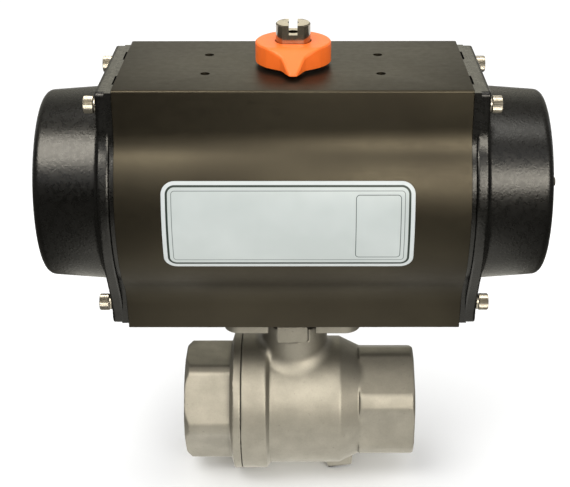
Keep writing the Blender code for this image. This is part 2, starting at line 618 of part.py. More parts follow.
def build_tailpiece():
    joint = JOINT_X - GAP / 2
    outer = [(0, -15.4), (THREAD_RADIUS - 0.35, -15.4), (THREAD_RADIUS - 0.35, joint),
             (FLANGE_RADIUS, joint), (FLANGE_RADIUS, FLANGE_LEFT), (30.5, FLANGE_LEFT - 1.5),
             (0, FLANGE_LEFT - 1.5)]
    tail = turned("tailpiece", outer, STAINLESS_CAST, turn=RIGHT, steps=28)
    join(tail, hex_end("tail_hex", LEFT_END, -31.0, math.pi / 6, 3.6, 0.5))
    inside = [(0, -14.0), (SEAT_POCKET, -14.0), (SEAT_POCKET, -22.8), (BORE_PORT, -22.8),
              (BORE_PORT, -34.0), (SOCKET_RADIUS, -34.0), (SOCKET_RADIUS, LEFT_END + 1.5),
              (24.6, LEFT_END - 1), (0, LEFT_END - 1)]
    cut(tail, turned("tail_inside", inside, turn=RIGHT, steps=24))


def build_ball_and_seats():
    sphere = bmesh.new()
    bmesh.ops.create_uvsphere(sphere, u_segments=22, v_segments=12, radius=BALL_RADIUS * MM)
    mesh = bpy.data.meshes.new("ball")
    sphere.to_mesh(mesh)
    sphere.free()
    ball = place("ball", mesh, STAINLESS, (0, 0, 0), UP)
    cut(ball, prisms("ball_bore", [(0, 0)], BORE_PORT, -40, 40, 24, turn=BACK),
        box("ball_slot", (-40, -4.4, 21.2), (40, 4.4, 40)))
    seat = [(27.0, 22.5), (27.0, 14.0), (23.0, 16.9), (19.3, 21.0), (19.3, 22.5)]
    for label, turn in (("left", LEFT), ("right", RIGHT)):
        turned(f"seat_{label}", seat, PTFE, turn=turn, steps=24)
    turned("body_seal", ring(27.6, 29.5, -15.1, -14.3), PTFE, turn=RIGHT, steps=24)


def build_stem():
    stem = turned("stem", [(0, 74.0), (STEM_RADIUS, 74.0), (STEM_RADIUS, 31.9), (11.3, 31.9), (11.3, 28.7),
                           (0, 28.7)], STAINLESS, steps=16)
    half = SQUARE / 2
    for label, low, high in (("left", (-20, -20), (-half, 20)), ("right", (half, -20), (20, 20)),
                             ("front", (-half, -20), (half, -half)), ("back", (-half, half), (half, 20))):
        cut(stem, box(f"square_{label}", (*low, 57.5), (*high, 75)))
    join(stem, box("stem_tang", (-8.5, -4.0, 21.6), (8.5, 4.0, 30.0)))

    turned("stem_thrust_washer", ring(9.3, 11.3, 32.2, 33.2), PTFE, steps=16)
    for index in range(3):
        low = 36.8 + 2.4 * index
        turned(f"stem_packing_{index + 1}", ring(9.3, 12.7, low, low + 2.1), PTFE, steps=16)
    turned("gland_ring", ring(9.4, 12.6, 44.0, 45.4), STAINLESS, steps=16)
    cone = [(12.4, 46.2), (12.4, 45.7), (9.5, 46.5), (9.5, 47.0)]
    for label, lift in (("lower", 0.0), ("upper", 1.0)):
        turned(f"disc_spring_{label}", [(r, z + lift) for r, z in cone], SPRING_STEEL, steps=16)
    nut = prisms("gland_nut", [(0, 0)], hexagon_radius(22.0), 50.0, 55.4, 6, STAINLESS)
    join(nut, prisms("gland_nut_thread", [(0, 0)], 12.65, 48.4, 50.0, 16),
         prisms("gland_nut_flange", [(0, 0)], 13.9, NECK_RIM + GAP, 51.1, 20))
    cut(nut, prisms("gland_nut_hole", [(0, 0)], STEM_HOLE, 40, 60, 16))
    build_lock_plate()


def build_lock_plate():
    """Tab washer: its hexagonal hole holds the gland nut and its tongue is bent down over the neck."""
    low, high = 51.4, 52.55
    side = [(-16.9, high), (-18.1, high - 1.2), (-18.1, 43.0), (-16.9, 43.0), (-16.9, low), (-10.0, low),
            (-10.0, high)]
    plate = prisms("nut_lock_plate", [(0, 0)], 14.6, low, high, 20, STAINLESS_CAST)
    join(plate, extruded("lock_tongue", side, CHANNEL_SHIFT - 7.3, CHANNEL_SHIFT + 7.3, turn=ALONG_X))
    cut(plate, prisms("lock_hole", [(0, 0)], hexagon_radius(22.6), low - 1, high + 1, 6))


def build_mounting_bolts():
    bolt = BOLT_CIRCLE / math.sqrt(2.0)
    profile = [(0, 69.0), (2.9, 69.0), (2.9, BOLT_HEAD_TOP), (BOLT_HEAD, BOLT_HEAD_TOP),
               (BOLT_HEAD, PAD_BOTTOM + GAP), (0, PAD_BOTTOM + GAP)]
    places = [(-bolt, -bolt), (bolt, -bolt), (-bolt, bolt), (bolt, bolt)]
    for index, (x, y) in enumerate(places, start=1):
        name = f"mounting_bolt_{index}"
        shape = turned(name, profile, STAINLESS, (x, y, 0), steps=12)
        cut(shape, prisms(f"{name}_socket", [(0, 0)], 2.3, PAD_BOTTOM - 1, PAD_BOTTOM + 2.6, 6,
                          spot=(x, y, 0)))


def main():
    build_housing()
    for side, label in ((-1, "left"), (1, "right")):
        build_end_cap(side, label)
        build_piston(side, label)
        build_spring(f"outer_spring_{label}", side, 26.0, 2.5, 6, 9, 1)
        build_spring(f"inner_spring_{label}", side, 16.0, 1.7, 7, 7, -1)
    build_cap_fasteners()
    build_nameplate()
    build_pinion()
    build_indicator()
    build_valve_body()
    build_tailpiece()
    build_ball_and_seats()
    build_stem()
    build_mounting_bolts()


main()
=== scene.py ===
"""Looks for the pneumatic actuated ball valve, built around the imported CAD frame.

Numbers are millimetres and degrees. X runs along the pipe, Z up the stem, -Y towards the nameplate.
Cast and moulded pieces are meshed from distance fields, machined ones from outlines and booleans.
"""
import math

import bmesh
import bpy
import numpy as np
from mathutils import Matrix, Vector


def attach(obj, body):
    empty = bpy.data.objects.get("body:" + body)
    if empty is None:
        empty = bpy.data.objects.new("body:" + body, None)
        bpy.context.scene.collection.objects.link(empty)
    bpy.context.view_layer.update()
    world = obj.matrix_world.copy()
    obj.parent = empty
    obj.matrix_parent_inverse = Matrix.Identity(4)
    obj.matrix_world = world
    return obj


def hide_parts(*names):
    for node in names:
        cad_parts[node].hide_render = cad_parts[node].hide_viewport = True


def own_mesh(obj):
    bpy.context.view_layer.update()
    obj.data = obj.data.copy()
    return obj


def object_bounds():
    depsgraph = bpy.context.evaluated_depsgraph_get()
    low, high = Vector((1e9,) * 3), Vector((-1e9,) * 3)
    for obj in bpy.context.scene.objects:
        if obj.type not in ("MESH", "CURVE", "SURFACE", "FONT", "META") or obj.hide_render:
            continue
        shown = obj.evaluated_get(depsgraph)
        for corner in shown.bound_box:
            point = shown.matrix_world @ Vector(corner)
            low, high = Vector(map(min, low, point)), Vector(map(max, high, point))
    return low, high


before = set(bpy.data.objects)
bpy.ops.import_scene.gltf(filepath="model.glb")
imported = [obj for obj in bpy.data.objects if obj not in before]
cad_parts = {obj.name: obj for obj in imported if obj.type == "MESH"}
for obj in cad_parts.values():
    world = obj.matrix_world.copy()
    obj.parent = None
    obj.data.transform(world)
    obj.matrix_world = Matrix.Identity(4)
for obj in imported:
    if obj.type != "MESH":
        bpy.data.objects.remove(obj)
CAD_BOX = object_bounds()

import openvdb
from mathutils import Matrix, Vector

MM = 0.001
PITCH_SCALE = 1.0

BARREL_Z = 122.0                                                  # height of the actuator's axis
BARREL_RADIUS = 53.0
FOOT_HALF = 30.5                                                  # half widths of the housing
SLAB_HALF = 40.0
HOUSING_HALF = 79.7                                               # half its length
HOUSING_TOP = 180.9
HOUSING_BOTTOM = 58.3

CAP_STEP = HOUSING_HALF + 0.3                                     # where an end cap starts
CAP_FLANGE = CAP_STEP + 1.9                                       # its flange's inner face
CAP_OUT = HOUSING_HALF + 7.7                                      # its flange's outer face
CAP_END = 118.0
CAP_BORE = 40.3
CAP_SCREWS = ((-31.0, 171.6), (31.0, 171.6), (-26.5, 70.4), (26.5, 70.4))

FOIL_HALF_X = 56.5                                                # the nameplate, unrolled
FOIL_HALF_ARC = 21.65
FOIL_MIDDLE = (-2.1, -0.8)
FOIL_CORNER = 6.0

BALL_BORE = 19.0
HEXAGON_FLATS = 54.4
THREAD_RADII = (22.4, 23.9)                                       # crest and root of the pipe thread
BOLT_REACH = 25.0 / math.sqrt(2.0)                                # four bolts on a 50 mm circle
BOLT_SPOTS = [(x, y) for y in (-BOLT_REACH, BOLT_REACH) for x in (-BOLT_REACH, BOLT_REACH)]

ALONG_X = Matrix(((0, 0, 1), (1, 0, 0), (0, 1, 0))).to_4x4()      # (y, z) outline, extruded along X
TO_RIGHT = Matrix.Rotation(math.pi / 2, 4, "Y")                   # local Z to +X
TO_LEFT = Matrix.Rotation(-math.pi / 2, 4, "Y")
TO_FRONT = Matrix.Rotation(math.pi / 2, 4, "X")                   # local Z to -Y, local Y up
TO_BACK = Matrix.Rotation(-math.pi / 2, 4, "X")
UPRIGHT = Matrix.Identity(4)


# ---------------------------------------------------------------- materials

class Finish:
    """A node material laid out in millimetres of object space."""

    def __init__(self, name, **inputs):
        self.material = bpy.data.materials.new(name)
        self.material.use_nodes = True
        self.tree = self.material.node_tree
        self.shader = self.tree.nodes["Principled BSDF"]
        for key, value in inputs.items():
            self.shader.inputs[key.replace("_", " ")].default_value = value
        spot = self.add("ShaderNodeTexCoord").outputs["Object"]
        self.place = self.vector("SCALE", spot, scale=1000.0)
        self.normal = None

    def add(self, kind, **settings):
        node = self.tree.nodes.new(kind)
        for key, value in settings.items():
            setattr(node, key, value)
        return node

    def plug(self, value, socket):
        if isinstance(value, bpy.types.NodeSocket):
            self.tree.links.new(value, socket)
        else:
            socket.default_value = value

    def vector(self, operation, first, second=None, scale=None):
        node = self.add("ShaderNodeVectorMath", operation=operation)
        self.plug(first, node.inputs[0])
        if second is not None:
            self.plug(second, node.inputs[1])
        if scale is not None:
            node.inputs["Scale"].default_value = scale
        return node.outputs[0]

    def math(self, operation, *values):
        node = self.add("ShaderNodeMath", operation=operation)
        for value, socket in zip(values, node.inputs):
            self.plug(value, socket)
        return node.outputs[0]

    def axes(self):
        node = self.add("ShaderNodeSeparateXYZ")
        self.plug(self.place, node.inputs[0])
        return node.outputs

    def noise(self, size, detail, stretch=(1.0, 1.0, 1.0), rough=0.5):
        """Noise from 0 to 1 whose blobs are about size millimetres, times the stretch."""
        node = self.add("ShaderNodeTexNoise")
        scaled = self.vector("DIVIDE", self.place, tuple(size * s for s in stretch))
        self.plug(scaled, node.inputs["Vector"])
        node.inputs["Scale"].default_value = 1.0
        node.inputs["Detail"].default_value = detail
        node.inputs["Roughness"].default_value = rough
        return node.outputs["Fac"]

    def ranged(self, value, low, high, to_low=0.0, to_high=1.0):
        """The value's range from low to high spread over the range from to_low to to_high."""
        node = self.add("ShaderNodeMapRange")
        for item, socket in zip((value, low, high, to_low, to_high), node.inputs):
            self.plug(item, socket)
        return node.outputs[0]

    def mix(self, factor, first, second):
        node = self.add("ShaderNodeMix", data_type="RGBA")
        self.plug(factor, node.inputs["Factor"])
        for value, label in ((first, "A"), (second, "B")):
            socket = [s for s in node.inputs if s.name == label and s.type == "RGBA"][0]
            self.plug(value if isinstance(value, bpy.types.NodeSocket) else (*value, 1.0), socket)
        return [s for s in node.outputs if s.type == "RGBA"][0]

    def bump(self, height, depth):
        """Adds a height map of the given depth in millimetres under any earlier one."""
        node = self.add("ShaderNodeBump")
        node.inputs["Strength"].default_value = 1.0
        node.inputs["Distance"].default_value = depth * MM
        self.plug(height, node.inputs["Height"])
        if self.normal is not None:
            self.plug(self.normal, node.inputs["Normal"])
        self.normal = node.outputs[0]
        self.plug(self.normal, self.shader.inputs["Normal"])

    def colour(self, value):
        self.plug(value, self.shader.inputs["Base Color"])

    def roughness(self, value):
        self.plug(value, self.shader.inputs["Roughness"])


def anodised():
    f = Finish("anodised_bronze", Metallic=1.0)
    tone = f.ranged(f.noise(38.0, 2.0), 0.35, 0.65)
    f.colour(f.mix(tone, (0.036, 0.0315, 0.0235), (0.043, 0.038, 0.028)))
    streak = f.noise(0.5, 2.0, (60.0, 1.0, 1.0))
    f.roughness(f.math("ADD", f.ranged(f.noise(3.0, 3.0), 0.3, 0.7, 0.40, 0.45),
                       f.ranged(streak, 0.3, 0.7, 0.0, 0.04)))
    f.bump(streak, 0.004)
    f.bump(f.noise(0.45, 2.0), 0.012)
    return f.material


def black_casting():
    f = Finish("black_coated_casting", IOR=1.42)
    tone = f.ranged(f.noise(9.0, 3.0), 0.35, 0.65)
    f.colour(f.mix(tone, (0.0007, 0.0006, 0.0004), (0.0012, 0.0011, 0.0008)))
    f.roughness(f.ranged(f.noise(2.2, 3.0), 0.3, 0.7, 0.24, 0.33))
    f.bump(f.noise(1.2, 2.0), 0.07)
    f.bump(f.noise(0.5, 2.0), 0.015)
    return f.material


def dimmed(colour, share):
    return tuple(share * value for value in colour)


def cast_stainless():
    """Blasted casting with faint blotches, a few dark marks, and painted shade darkening its corners and
    recesses.
    """
    f = Finish("cast_stainless", Metallic=1.0)
    base = (0.256, 0.245, 0.216)
    blotch = f.ranged(f.noise(11.0, 4.0, rough=0.6), 0.35, 0.68)
    clean = f.mix(blotch, dimmed(base, 0.87), base)
    marks = f.ranged(f.noise(1.6, 3.0, rough=0.65), 0.66, 0.74)
    scuffed = f.mix(f.math("MULTIPLY", marks, 0.55), clean, dimmed(base, 0.45))
    # Painted shade: an ambient occlusion mask darkens the colour in corners, creases and recesses, such as
    # round the lock plate's tongue.
    corners = f.add("ShaderNodeAmbientOcclusion", samples=8)
    corners.inputs["Distance"].default_value = 4.0 * MM
    painted_shade_mask = f.ranged(corners.outputs["AO"], 0.35, 0.85)
    f.colour(f.mix(painted_shade_mask, dimmed(base, 0.42), scuffed))
    f.roughness(f.math("ADD", f.ranged(f.noise(0.7, 2.0), 0.3, 0.7, 0.49, 0.57),
                       f.ranged(blotch, 0.0, 1.0, 0.04, -0.02)))
    f.bump(f.noise(2.6, 3.0), 0.035)
    f.bump(f.noise(0.42, 2.0), 0.028)
    return f.material


def bright_metal(name, base, rough, grain=0.35, depth=0.006):
    f = Finish(name, Metallic=1.0)
    tone = f.ranged(f.noise(5.0, 3.0), 0.3, 0.7)
    f.colour(f.mix(tone, dimmed(base, 0.88), base))
    f.roughness(f.ranged(f.noise(1.1, 3.0), 0.3, 0.7, rough - 0.05, rough + 0.07))
    f.bump(f.noise(grain, 2.0), depth)
    return f.material


def plastic(name, base, rough, darker=0.86, depth=0.012, **inputs):
    f = Finish(name, **inputs)
    tone = f.ranged(f.noise(7.0, 3.0), 0.3, 0.7)
    f.colour(f.mix(tone, dimmed(base, darker), base))
    f.roughness(f.ranged(f.noise(0.9, 2.0), 0.3, 0.7, rough - 0.04, rough + 0.06))
    f.bump(f.noise(0.5, 2.0), depth)
    return f.material


def rounded_box(f, across, up, centre, half, corner):
    """Node distance in millimetres from a box with round corners, negative inside."""
    sides = []
    for value, middle, extent in ((across, centre[0], half[0]), (up, centre[1], half[1])):
        offset = f.math("ABSOLUTE", f.math("SUBTRACT", value, middle))
        sides.append(f.math("SUBTRACT", offset, extent - corner))
    outside = [f.math("MAXIMUM", side, 0.0) for side in sides]
    squares = [f.math("MULTIPLY", value, value) for value in outside]
    length = f.math("SQRT", f.math("ADD", *squares))
    inside = f.math("MINIMUM", f.math("MAXIMUM", *sides), 0.0)
    return f.math("SUBTRACT", f.math("ADD", length, inside), corner)


def nameplate_foil():
    """Silver foil with a dark frame line, a thin grey line inside it and an empty thin-lined box."""
    f = Finish("nameplate_foil", Specular_IOR_Level=0.25)
    x, y, z = f.axes()
    angle = f.math("ARCTAN2", f.math("SUBTRACT", z, BARREL_Z), f.math("MULTIPLY", y, -1.0))
    up = f.math("MULTIPLY", angle, 53.6)
    edge = rounded_box(f, x, up, FOIL_MIDDLE, (FOIL_HALF_X, FOIL_HALF_ARC), FOIL_CORNER)
    box = rounded_box(f, x, up, (38.2, -0.9), (10.0, 15.4), 1.6)
    blur = 0.08

    def line(distance, middle, width):
        """1 within a line of the width drawn at the middle distance, and 0 elsewhere."""
        off = f.math("ABSOLUTE", f.math("SUBTRACT", distance, middle))
        return f.ranged(off, width / 2 - blur, width / 2 + blur, 1.0, 0.0)

    tone = f.ranged(f.noise(22.0, 2.0), 0.35, 0.65)
    foil = f.mix(tone, (0.375, 0.405, 0.390), (0.41, 0.44, 0.425))
    foil = f.mix(f.ranged(edge, -2.0, -1.8), foil, (0.45, 0.475, 0.468))
    foil = f.mix(line(edge, -2.35, 1.0), foil, (0.012, 0.022, 0.016))
    foil = f.mix(line(edge, -4.5, 0.3), foil, (0.10, 0.115, 0.11))
    f.colour(f.mix(line(box, 0.0, 0.32), foil, (0.03, 0.045, 0.04)))
    f.roughness(f.ranged(f.noise(1.2, 2.0), 0.3, 0.7, 0.40, 0.48))
    f.bump(f.noise(6.0, 1.0), 0.012)
    return f.material


MATERIALS = {
    "anodised_housing": anodised(),
    "black_casting": black_casting(),
    "cast_stainless": cast_stainless(),
    "stainless": bright_metal("stainless_steel", (0.37, 0.345, 0.295), 0.36),
    "nickel_steel": bright_metal("nickel_plate", (0.40, 0.35, 0.285), 0.14, 0.8, 0.003),
    "orange_plastic": plastic("orange_plastic", (0.92, 0.160, 0.018), 0.38, 0.93,
                              Specular_IOR_Level=0.25),
    "nameplate_foil": nameplate_foil(),
    "white_ptfe": plastic("white_ptfe", (0.80, 0.79, 0.75), 0.45),
    "black_nitrile": plastic("black_nitrile", (0.014, 0.014, 0.014), 0.52, 0.7),
    "grey_acetal": plastic("grey_acetal", (0.26, 0.26, 0.25), 0.42),
    "cast_aluminium": bright_metal("cast_aluminium", (0.62, 0.63, 0.64), 0.38, 0.8, 0.03),
    "spring_steel": bright_metal("coated_spring_steel", (0.05, 0.07, 0.12), 0.38),
}


# ---------------------------------------------------------------- meshes

def piece(name, mesh, slot, body, *nodes, smooth=32.0, spot=UPRIGHT):
    """One visible piece, set down at the spot, riding on a body and standing for the CAD nodes."""
    made = bpy.data.objects.new(name, mesh)
    made.matrix_world = spot
    bpy.context.scene.collection.objects.link(made)
    if not mesh.materials:
        mesh.materials.append(MATERIALS[slot])
        mesh.shade_smooth()
        mesh.set_sharp_from_angle(angle=math.radians(smooth))
    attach(made, body)
    if nodes:
        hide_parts(*nodes)
    return made


def rectangle(low, high):
    return [(low[0], low[1]), (high[0], low[1]), (high[0], high[1]), (low[0], high[1])]


def rounded(corners, radius, steps=4):
    """A closed outline with round corners; a third value in a corner is its own radius."""
    nearly_straight = math.radians(88.0)
    points = []
    for before, here, after in zip(corners[-1:] + corners[:-1], corners, corners[1:] + corners[:1]):
        size = here[2] if len(here) > 2 else radius
        spot = Vector(here[:2])
        back, ahead = Vector(before[:2]) - spot, Vector(after[:2]) - spot
        half = back.angle(ahead) / 2
        if not size or half > nearly_straight:
            points.append(tuple(spot))
            continue
        reach = min(size / math.tan(half), back.length * 0.49, ahead.length * 0.49)
        size = reach * math.tan(half)
        centre = spot + (back.normalized() + ahead.normalized()).normalized() * (size / math.sin(half))
        start = spot + back.normalized() * reach - centre
        sweep = start.angle_signed(spot + ahead.normalized() * reach - centre)
        for i in range(steps + 1):
            turn = Matrix.Rotation(-sweep * i / steps, 2)
            points.append(tuple(centre + turn @ start))
    return points


def arc(centre, radius, start, end, count):
    angles = np.radians(np.linspace(start, end, count))
    return [(centre[0] + radius * math.cos(a), centre[1] + radius * math.sin(a)) for a in angles]


def mesh_from(name, points, faces, matrix=UPRIGHT):
    """A mesh from points in millimetres, with doubles welded and normals facing out."""
    shape = bmesh.new()
    verts = [shape.verts.new([value * MM for value in point]) for point in points]
    for face in faces:
        shape.faces.new([verts[i] for i in face])
    bmesh.ops.remove_doubles(shape, verts=shape.verts, dist=1e-7)
    bmesh.ops.dissolve_degenerate(shape, edges=shape.edges, dist=1e-8)
    bmesh.ops.recalc_face_normals(shape, faces=shape.faces)
    shape.transform(matrix)
    mesh = bpy.data.meshes.new(name)
    shape.to_mesh(mesh)
    shape.free()
    return mesh


def at(x, y, z, matrix=UPRIGHT):
    return Matrix.Translation((x * MM, y * MM, z * MM)) @ matrix


ON_BARREL = at(0, 0, BARREL_Z, TO_RIGHT)                          # local Z along the actuator's axis


def turned(name, profile, matrix=UPRIGHT, steps=72, ribs=(), rib_depth=0.0):
    """Turns a closed (radius, height) outline about local Z; the points listed in ribs are knurled."""
    points, faces = [], []
    count = len(profile)
    for step in range(steps):
        angle = 2 * math.pi * step / steps
        for index, (radius, height) in enumerate(profile):
            r = radius - (rib_depth if index in ribs and step % 2 else 0.0)
            points.append((r * math.cos(angle), r * math.sin(angle), height))
    for step in range(steps):
        here, there = step * count, (step + 1) % steps * count
        for i in range(count):
            j = (i + 1) % count
            if profile[i][0] > 0 and profile[j][0] > 0:
                faces.append((here + i, here + j, there + j, there + i))
            elif profile[i][0] > 0:
                faces.append((here + i, here + j, there + i))
            elif profile[j][0] > 0:
                faces.append((here + i, here + j, there + j))
    return mesh_from(name, points, faces, matrix)


def extruded(name, outline, low, high, matrix=UPRIGHT, bevel=0.0):
    """Extrudes an (x, y) outline along local Z, with its end edges bevelled."""
    count = len(outline)
    points = [(x, y, low) for x, y in outline] + [(x, y, high) for x, y in outline]
    faces = [tuple(range(count)), tuple(range(2 * count - 1, count - 1, -1))]
    faces += [(i, (i + 1) % count, (i + 1) % count + count, i + count) for i in range(count)]
    mesh = mesh_from(name, points, faces, matrix)
    if bevel:
        shape = bmesh.new()
        shape.from_mesh(mesh)
        caps = [face for face in shape.faces if len(face.verts) > 4 or count < 5]
        edges = {edge for face in caps for edge in face.edges}
        bmesh.ops.bevel(shape, geom=list(edges), offset=bevel * MM, segments=3, profile=0.5, affect="EDGES")
        shape.to_mesh(mesh)
        shape.free()
    return mesh


def boolean(mesh, operation, *tools):
    """The mesh combined with each tool mesh by an exact boolean."""
    shape = bpy.data.objects.new("base", mesh)
    bpy.context.scene.collection.objects.link(shape)
    helpers = [shape]
    for tool in tools:
        other = bpy.data.objects.new("tool", tool)
        bpy.context.scene.collection.objects.link(other)
        helpers.append(other)
        step = shape.modifiers.new("step", "BOOLEAN")
        step.operation = operation
        step.solver = "EXACT"
        step.object = other
    bpy.context.view_layer.update()
    result = bpy.data.meshes.new_from_object(shape.evaluated_get(bpy.context.evaluated_depsgraph_get()))
    for helper in helpers:
        bpy.data.objects.remove(helper, do_unlink=True)
    result.name = mesh.name
    result.materials.clear()
    return result


def rod(radius, low, high, matrix=UPRIGHT, steps=48):
    return turned("rod", rectangle((0, low), (radius, high)), matrix, steps)


def block(low, high, matrix=UPRIGHT):
    return extruded("block", rectangle(low, high), low[2], high[2], matrix)


def hexagon(flats, spin=0.0):
    return arc((0, 0), flats / math.sqrt(3.0), spin, spin + 300.0, 6)


def merged(name, *meshes):
    """One mesh holding all the given ones."""
    whole = bmesh.new()
    for mesh in meshes:
        whole.from_mesh(mesh)
    mesh = bpy.data.meshes.new(name)
    whole.to_mesh(mesh)
    whole.free()
    return mesh


# ---------------------------------------------------------------- distance fields

def union(a, b, radius=0.0):
    """Both shapes, with a fillet of the given radius where they meet."""
    if not radius:
        return np.minimum(a, b)
    near_a, near_b = np.maximum(radius - a, 0.0), np.maximum(radius - b, 0.0)
    return np.maximum(radius, np.minimum(a, b)) - np.sqrt(near_a * near_a + near_b * near_b)


def common(a, b, radius=0.0):
    return -union(-a, -b, radius)


def less(a, b, radius=0.0):
    return common(a, -b, radius)


def inset(corners, amount):
    """The outline with every side moved inwards."""
    area = sum(a[0] * b[1] - b[0] * a[1] for a, b in zip(corners, corners[1:] + corners[:1]))
    way = 1.0 if area > 0 else -1.0
    moved = []
    for before, here, after in zip(corners[-1:] + corners[:-1], corners, corners[1:] + corners[:1]):
        one = (Vector(here) - Vector(before)).normalized()
        two = (Vector(after) - Vector(here)).normalized()
        normal_one, normal_two = Vector((-one.y, one.x)) * way, Vector((-two.y, two.x)) * way
        middle = (normal_one + normal_two).normalized()
        moved.append(tuple(Vector(here) + middle * (amount / max(middle.dot(normal_one), 0.3))))
    return moved


def outline_field(across, up, corners, radius=0.0):
    """Signed distance from a closed outline with its outer corners rounded."""
    if radius:
        corners = inset(corners, radius)
    closest, inside = np.float32(1e9), False
    for (ax, ay), (bx, by) in zip(corners, corners[1:] + corners[:1]):
        ex, ey = bx - ax, by - ay
        px, py = across - ax, up - ay
        t = np.clip((px * ex + py * ey) / (ex * ex + ey * ey), 0.0, 1.0)
        closest = np.minimum(closest, (px - ex * t) ** 2 + (py - ey * t) ** 2)
        if ey:
            inside = inside ^ (((ay > up) != (by > up)) & (px < ex * (up - ay) / ey))
    return np.where(inside, -1.0, 1.0) * np.sqrt(closest) - radius


def slab_field(value, low, high):
    return np.abs(value - (low + high) / 2) - (high - low) / 2


def carve(name, field, low, high, pitch):
    """Meshes the zero surface of field(x, y, z), then moves each point exactly onto it."""
    pitch *= PITCH_SCALE
    band = 3.0 * pitch
    axes = [np.arange(a - 2 * pitch, b + 2 * pitch, pitch, dtype=np.float32) for a, b in zip(low, high)]
    values = field(*np.meshgrid(*axes, indexing="ij", sparse=True)).astype(np.float32)
    grid = openvdb.FloatGrid(band)
    grid.copyFromArray(np.clip(values, -band, band))
    points, quads = grid.convertToQuads()
    points = points * pitch + np.array([axis[0] for axis in axes])
    step, rounds = 0.02, 3
    for _ in range(rounds):
        x, y, z = points.T
        here = field(x, y, z)
        slope = np.stack([field(x + step, y, z) - field(x - step, y, z),
                          field(x, y + step, z) - field(x, y - step, z),
                          field(x, y, z + step) - field(x, y, z - step)], axis=1) / (2 * step)
        steep = np.maximum((slope * slope).sum(1), 0.25)
        move = np.clip(here / steep, -0.5 * pitch, 0.5 * pitch)
        points = points - slope * move[:, None]
    mesh = bpy.data.meshes.new(name)
    mesh.from_pydata((points * MM).tolist(), [], quads.tolist())
    shape = bmesh.new()
    shape.from_mesh(mesh)
    bmesh.ops.recalc_face_normals(shape, faces=shape.faces)
    shape.to_mesh(mesh)
    shape.free()
    return mesh


# ---------------------------------------------------------------- housing

def hollow(side, lean, radius, blend, sign):
    """Fillet from the barrel to a side through the point side that leans outwards by lean as it rises.

    Gives the angle where it leaves the barrel, and its points. Heights in side are from the barrel's axis.
    """
    along = Vector((lean, 1.0)).normalized()
    out = Vector((along.y, -along.x))
    start = Vector(side) + out * blend
    half = start.dot(along)
    root = math.sqrt(half * half - start.length_squared + (radius + blend) ** 2)
    centre = start + along * (sign * root - half)
    touch = math.degrees(math.atan2(centre.y, centre.x))
    flat = math.degrees(math.atan2(-out.y, -out.x)) % 360.0
    return touch, [(y, z + BARREL_Z) for y, z in arc(centre, blend, touch + 180.0, flat, 9)]


def half_section(shrink, barrel_shrink):
    """The extrusion's outline for y > 0, from the bottom up, stood back by the shrinks."""
    radius = BARREL_RADIUS - barrel_shrink
    foot = (FOOT_HALF - shrink, HOUSING_BOTTOM + shrink - BARREL_Z)
    slab = (SLAB_HALF - shrink, HOUSING_TOP - shrink - BARREL_Z)
    foot_lean, foot_fillet, slab_fillet = 2.5 / 22.0, 24.0, 22.0
    down, lower = hollow(foot, foot_lean, radius, foot_fillet, -1)
    up, upper = hollow(slab, 0.0, radius, slab_fillet, 1)
    barrel = arc((0.0, BARREL_Z), radius, down, up, 40)
    return ([(foot[0], HOUSING_BOTTOM + shrink)] + lower[::-1] + barrel[1:-1] + upper
            + [(slab[0], HOUSING_TOP - shrink)])


def housing_section():
    """The whole outline, with the flat face of the air ports standing out of the barrel's back."""
    corners = [(y, z, 0.0) for y, z in half_section(0.0, 0.0)]
    foot_corner, slab_corner = 0.7, 1.2
    corners[0] = (*corners[0][:2], foot_corner)
    corners[-1] = (*corners[-1][:2], slab_corner)
    face, reach = 54.5, 21.0
    below = [c for c in corners if c[1] < BARREL_Z - reach - 1.0]
    above = [c for c in corners if c[1] > BARREL_Z + reach + 1.0]
    back = below + [(face, BARREL_Z - reach, 0.6), (face, BARREL_Z + reach, 0.6)] + above
    front = [(-c[0], *c[1:]) for c in reversed(corners)]
    return rounded(back + front, 0.0, 4)


def build_housing():
    """The extruded shell less its bore, bearing holes, tapped holes and air ports."""
    bore, top_bearing, foot_bearing = 40.0, 12.0, 19.0
    top_tap, bolt_tap, screw_tap = 2.2, 3.2, 2.8
    tools = [rod(bore, -90.0, 90.0, ON_BARREL, 96), rod(top_bearing, BARREL_Z, 190.0, steps=64),
             rod(foot_bearing, 50.0, BARREL_Z, steps=64)]
    top_taps = [(x, y) for x in (-40.0, 40.0) for y in (-15.0, 15.0)]
    tools += [rod(top_tap, 172.9, 182.0, at(x, y, 0), 32) for x, y in top_taps]
    tools += [rod(bolt_tap, 57.0, 71.3, at(x, y, 0), 24) for x, y in BOLT_SPOTS]
    for y, z in CAP_SCREWS:
        for low, high in ((-81.0, -63.7), (63.7, 81.0)):
            tools.append(rod(screw_tap, low, high, at(0, y, z, TO_RIGHT), 24))
    port = [(0, 45.5), (5.9, 45.5), (5.9, 53.4), (6.9, 54.4), (6.9, 56.0), (0, 56.0)]
    tools += [turned("port", port, at(x, 0, BARREL_Z, TO_BACK), 48) for x in (-12.0, 12.0)]
    tap = [(0, 46.5), (2.5, 46.5), (2.5, 54.0), (3.0, 54.6), (3.0, 56.0), (0, 56.0)]
    port_taps = [(x, BARREL_Z + up) for x in (-16.0, 16.0) for up in (-12.0, 12.0)]
    tools += [turned("port_tap", tap, at(x, 0, z, TO_BACK), 24) for x, z in port_taps]
    mesh = extruded("housing_shell", housing_section(), -HOUSING_HALF, HOUSING_HALF, ALONG_X, 0.35)
    mesh = boolean(mesh, "DIFFERENCE", *tools)
    piece("housing_shell", mesh, "anodised_housing", "root", "housing", smooth=22.0)


# ---------------------------------------------------------------- end caps

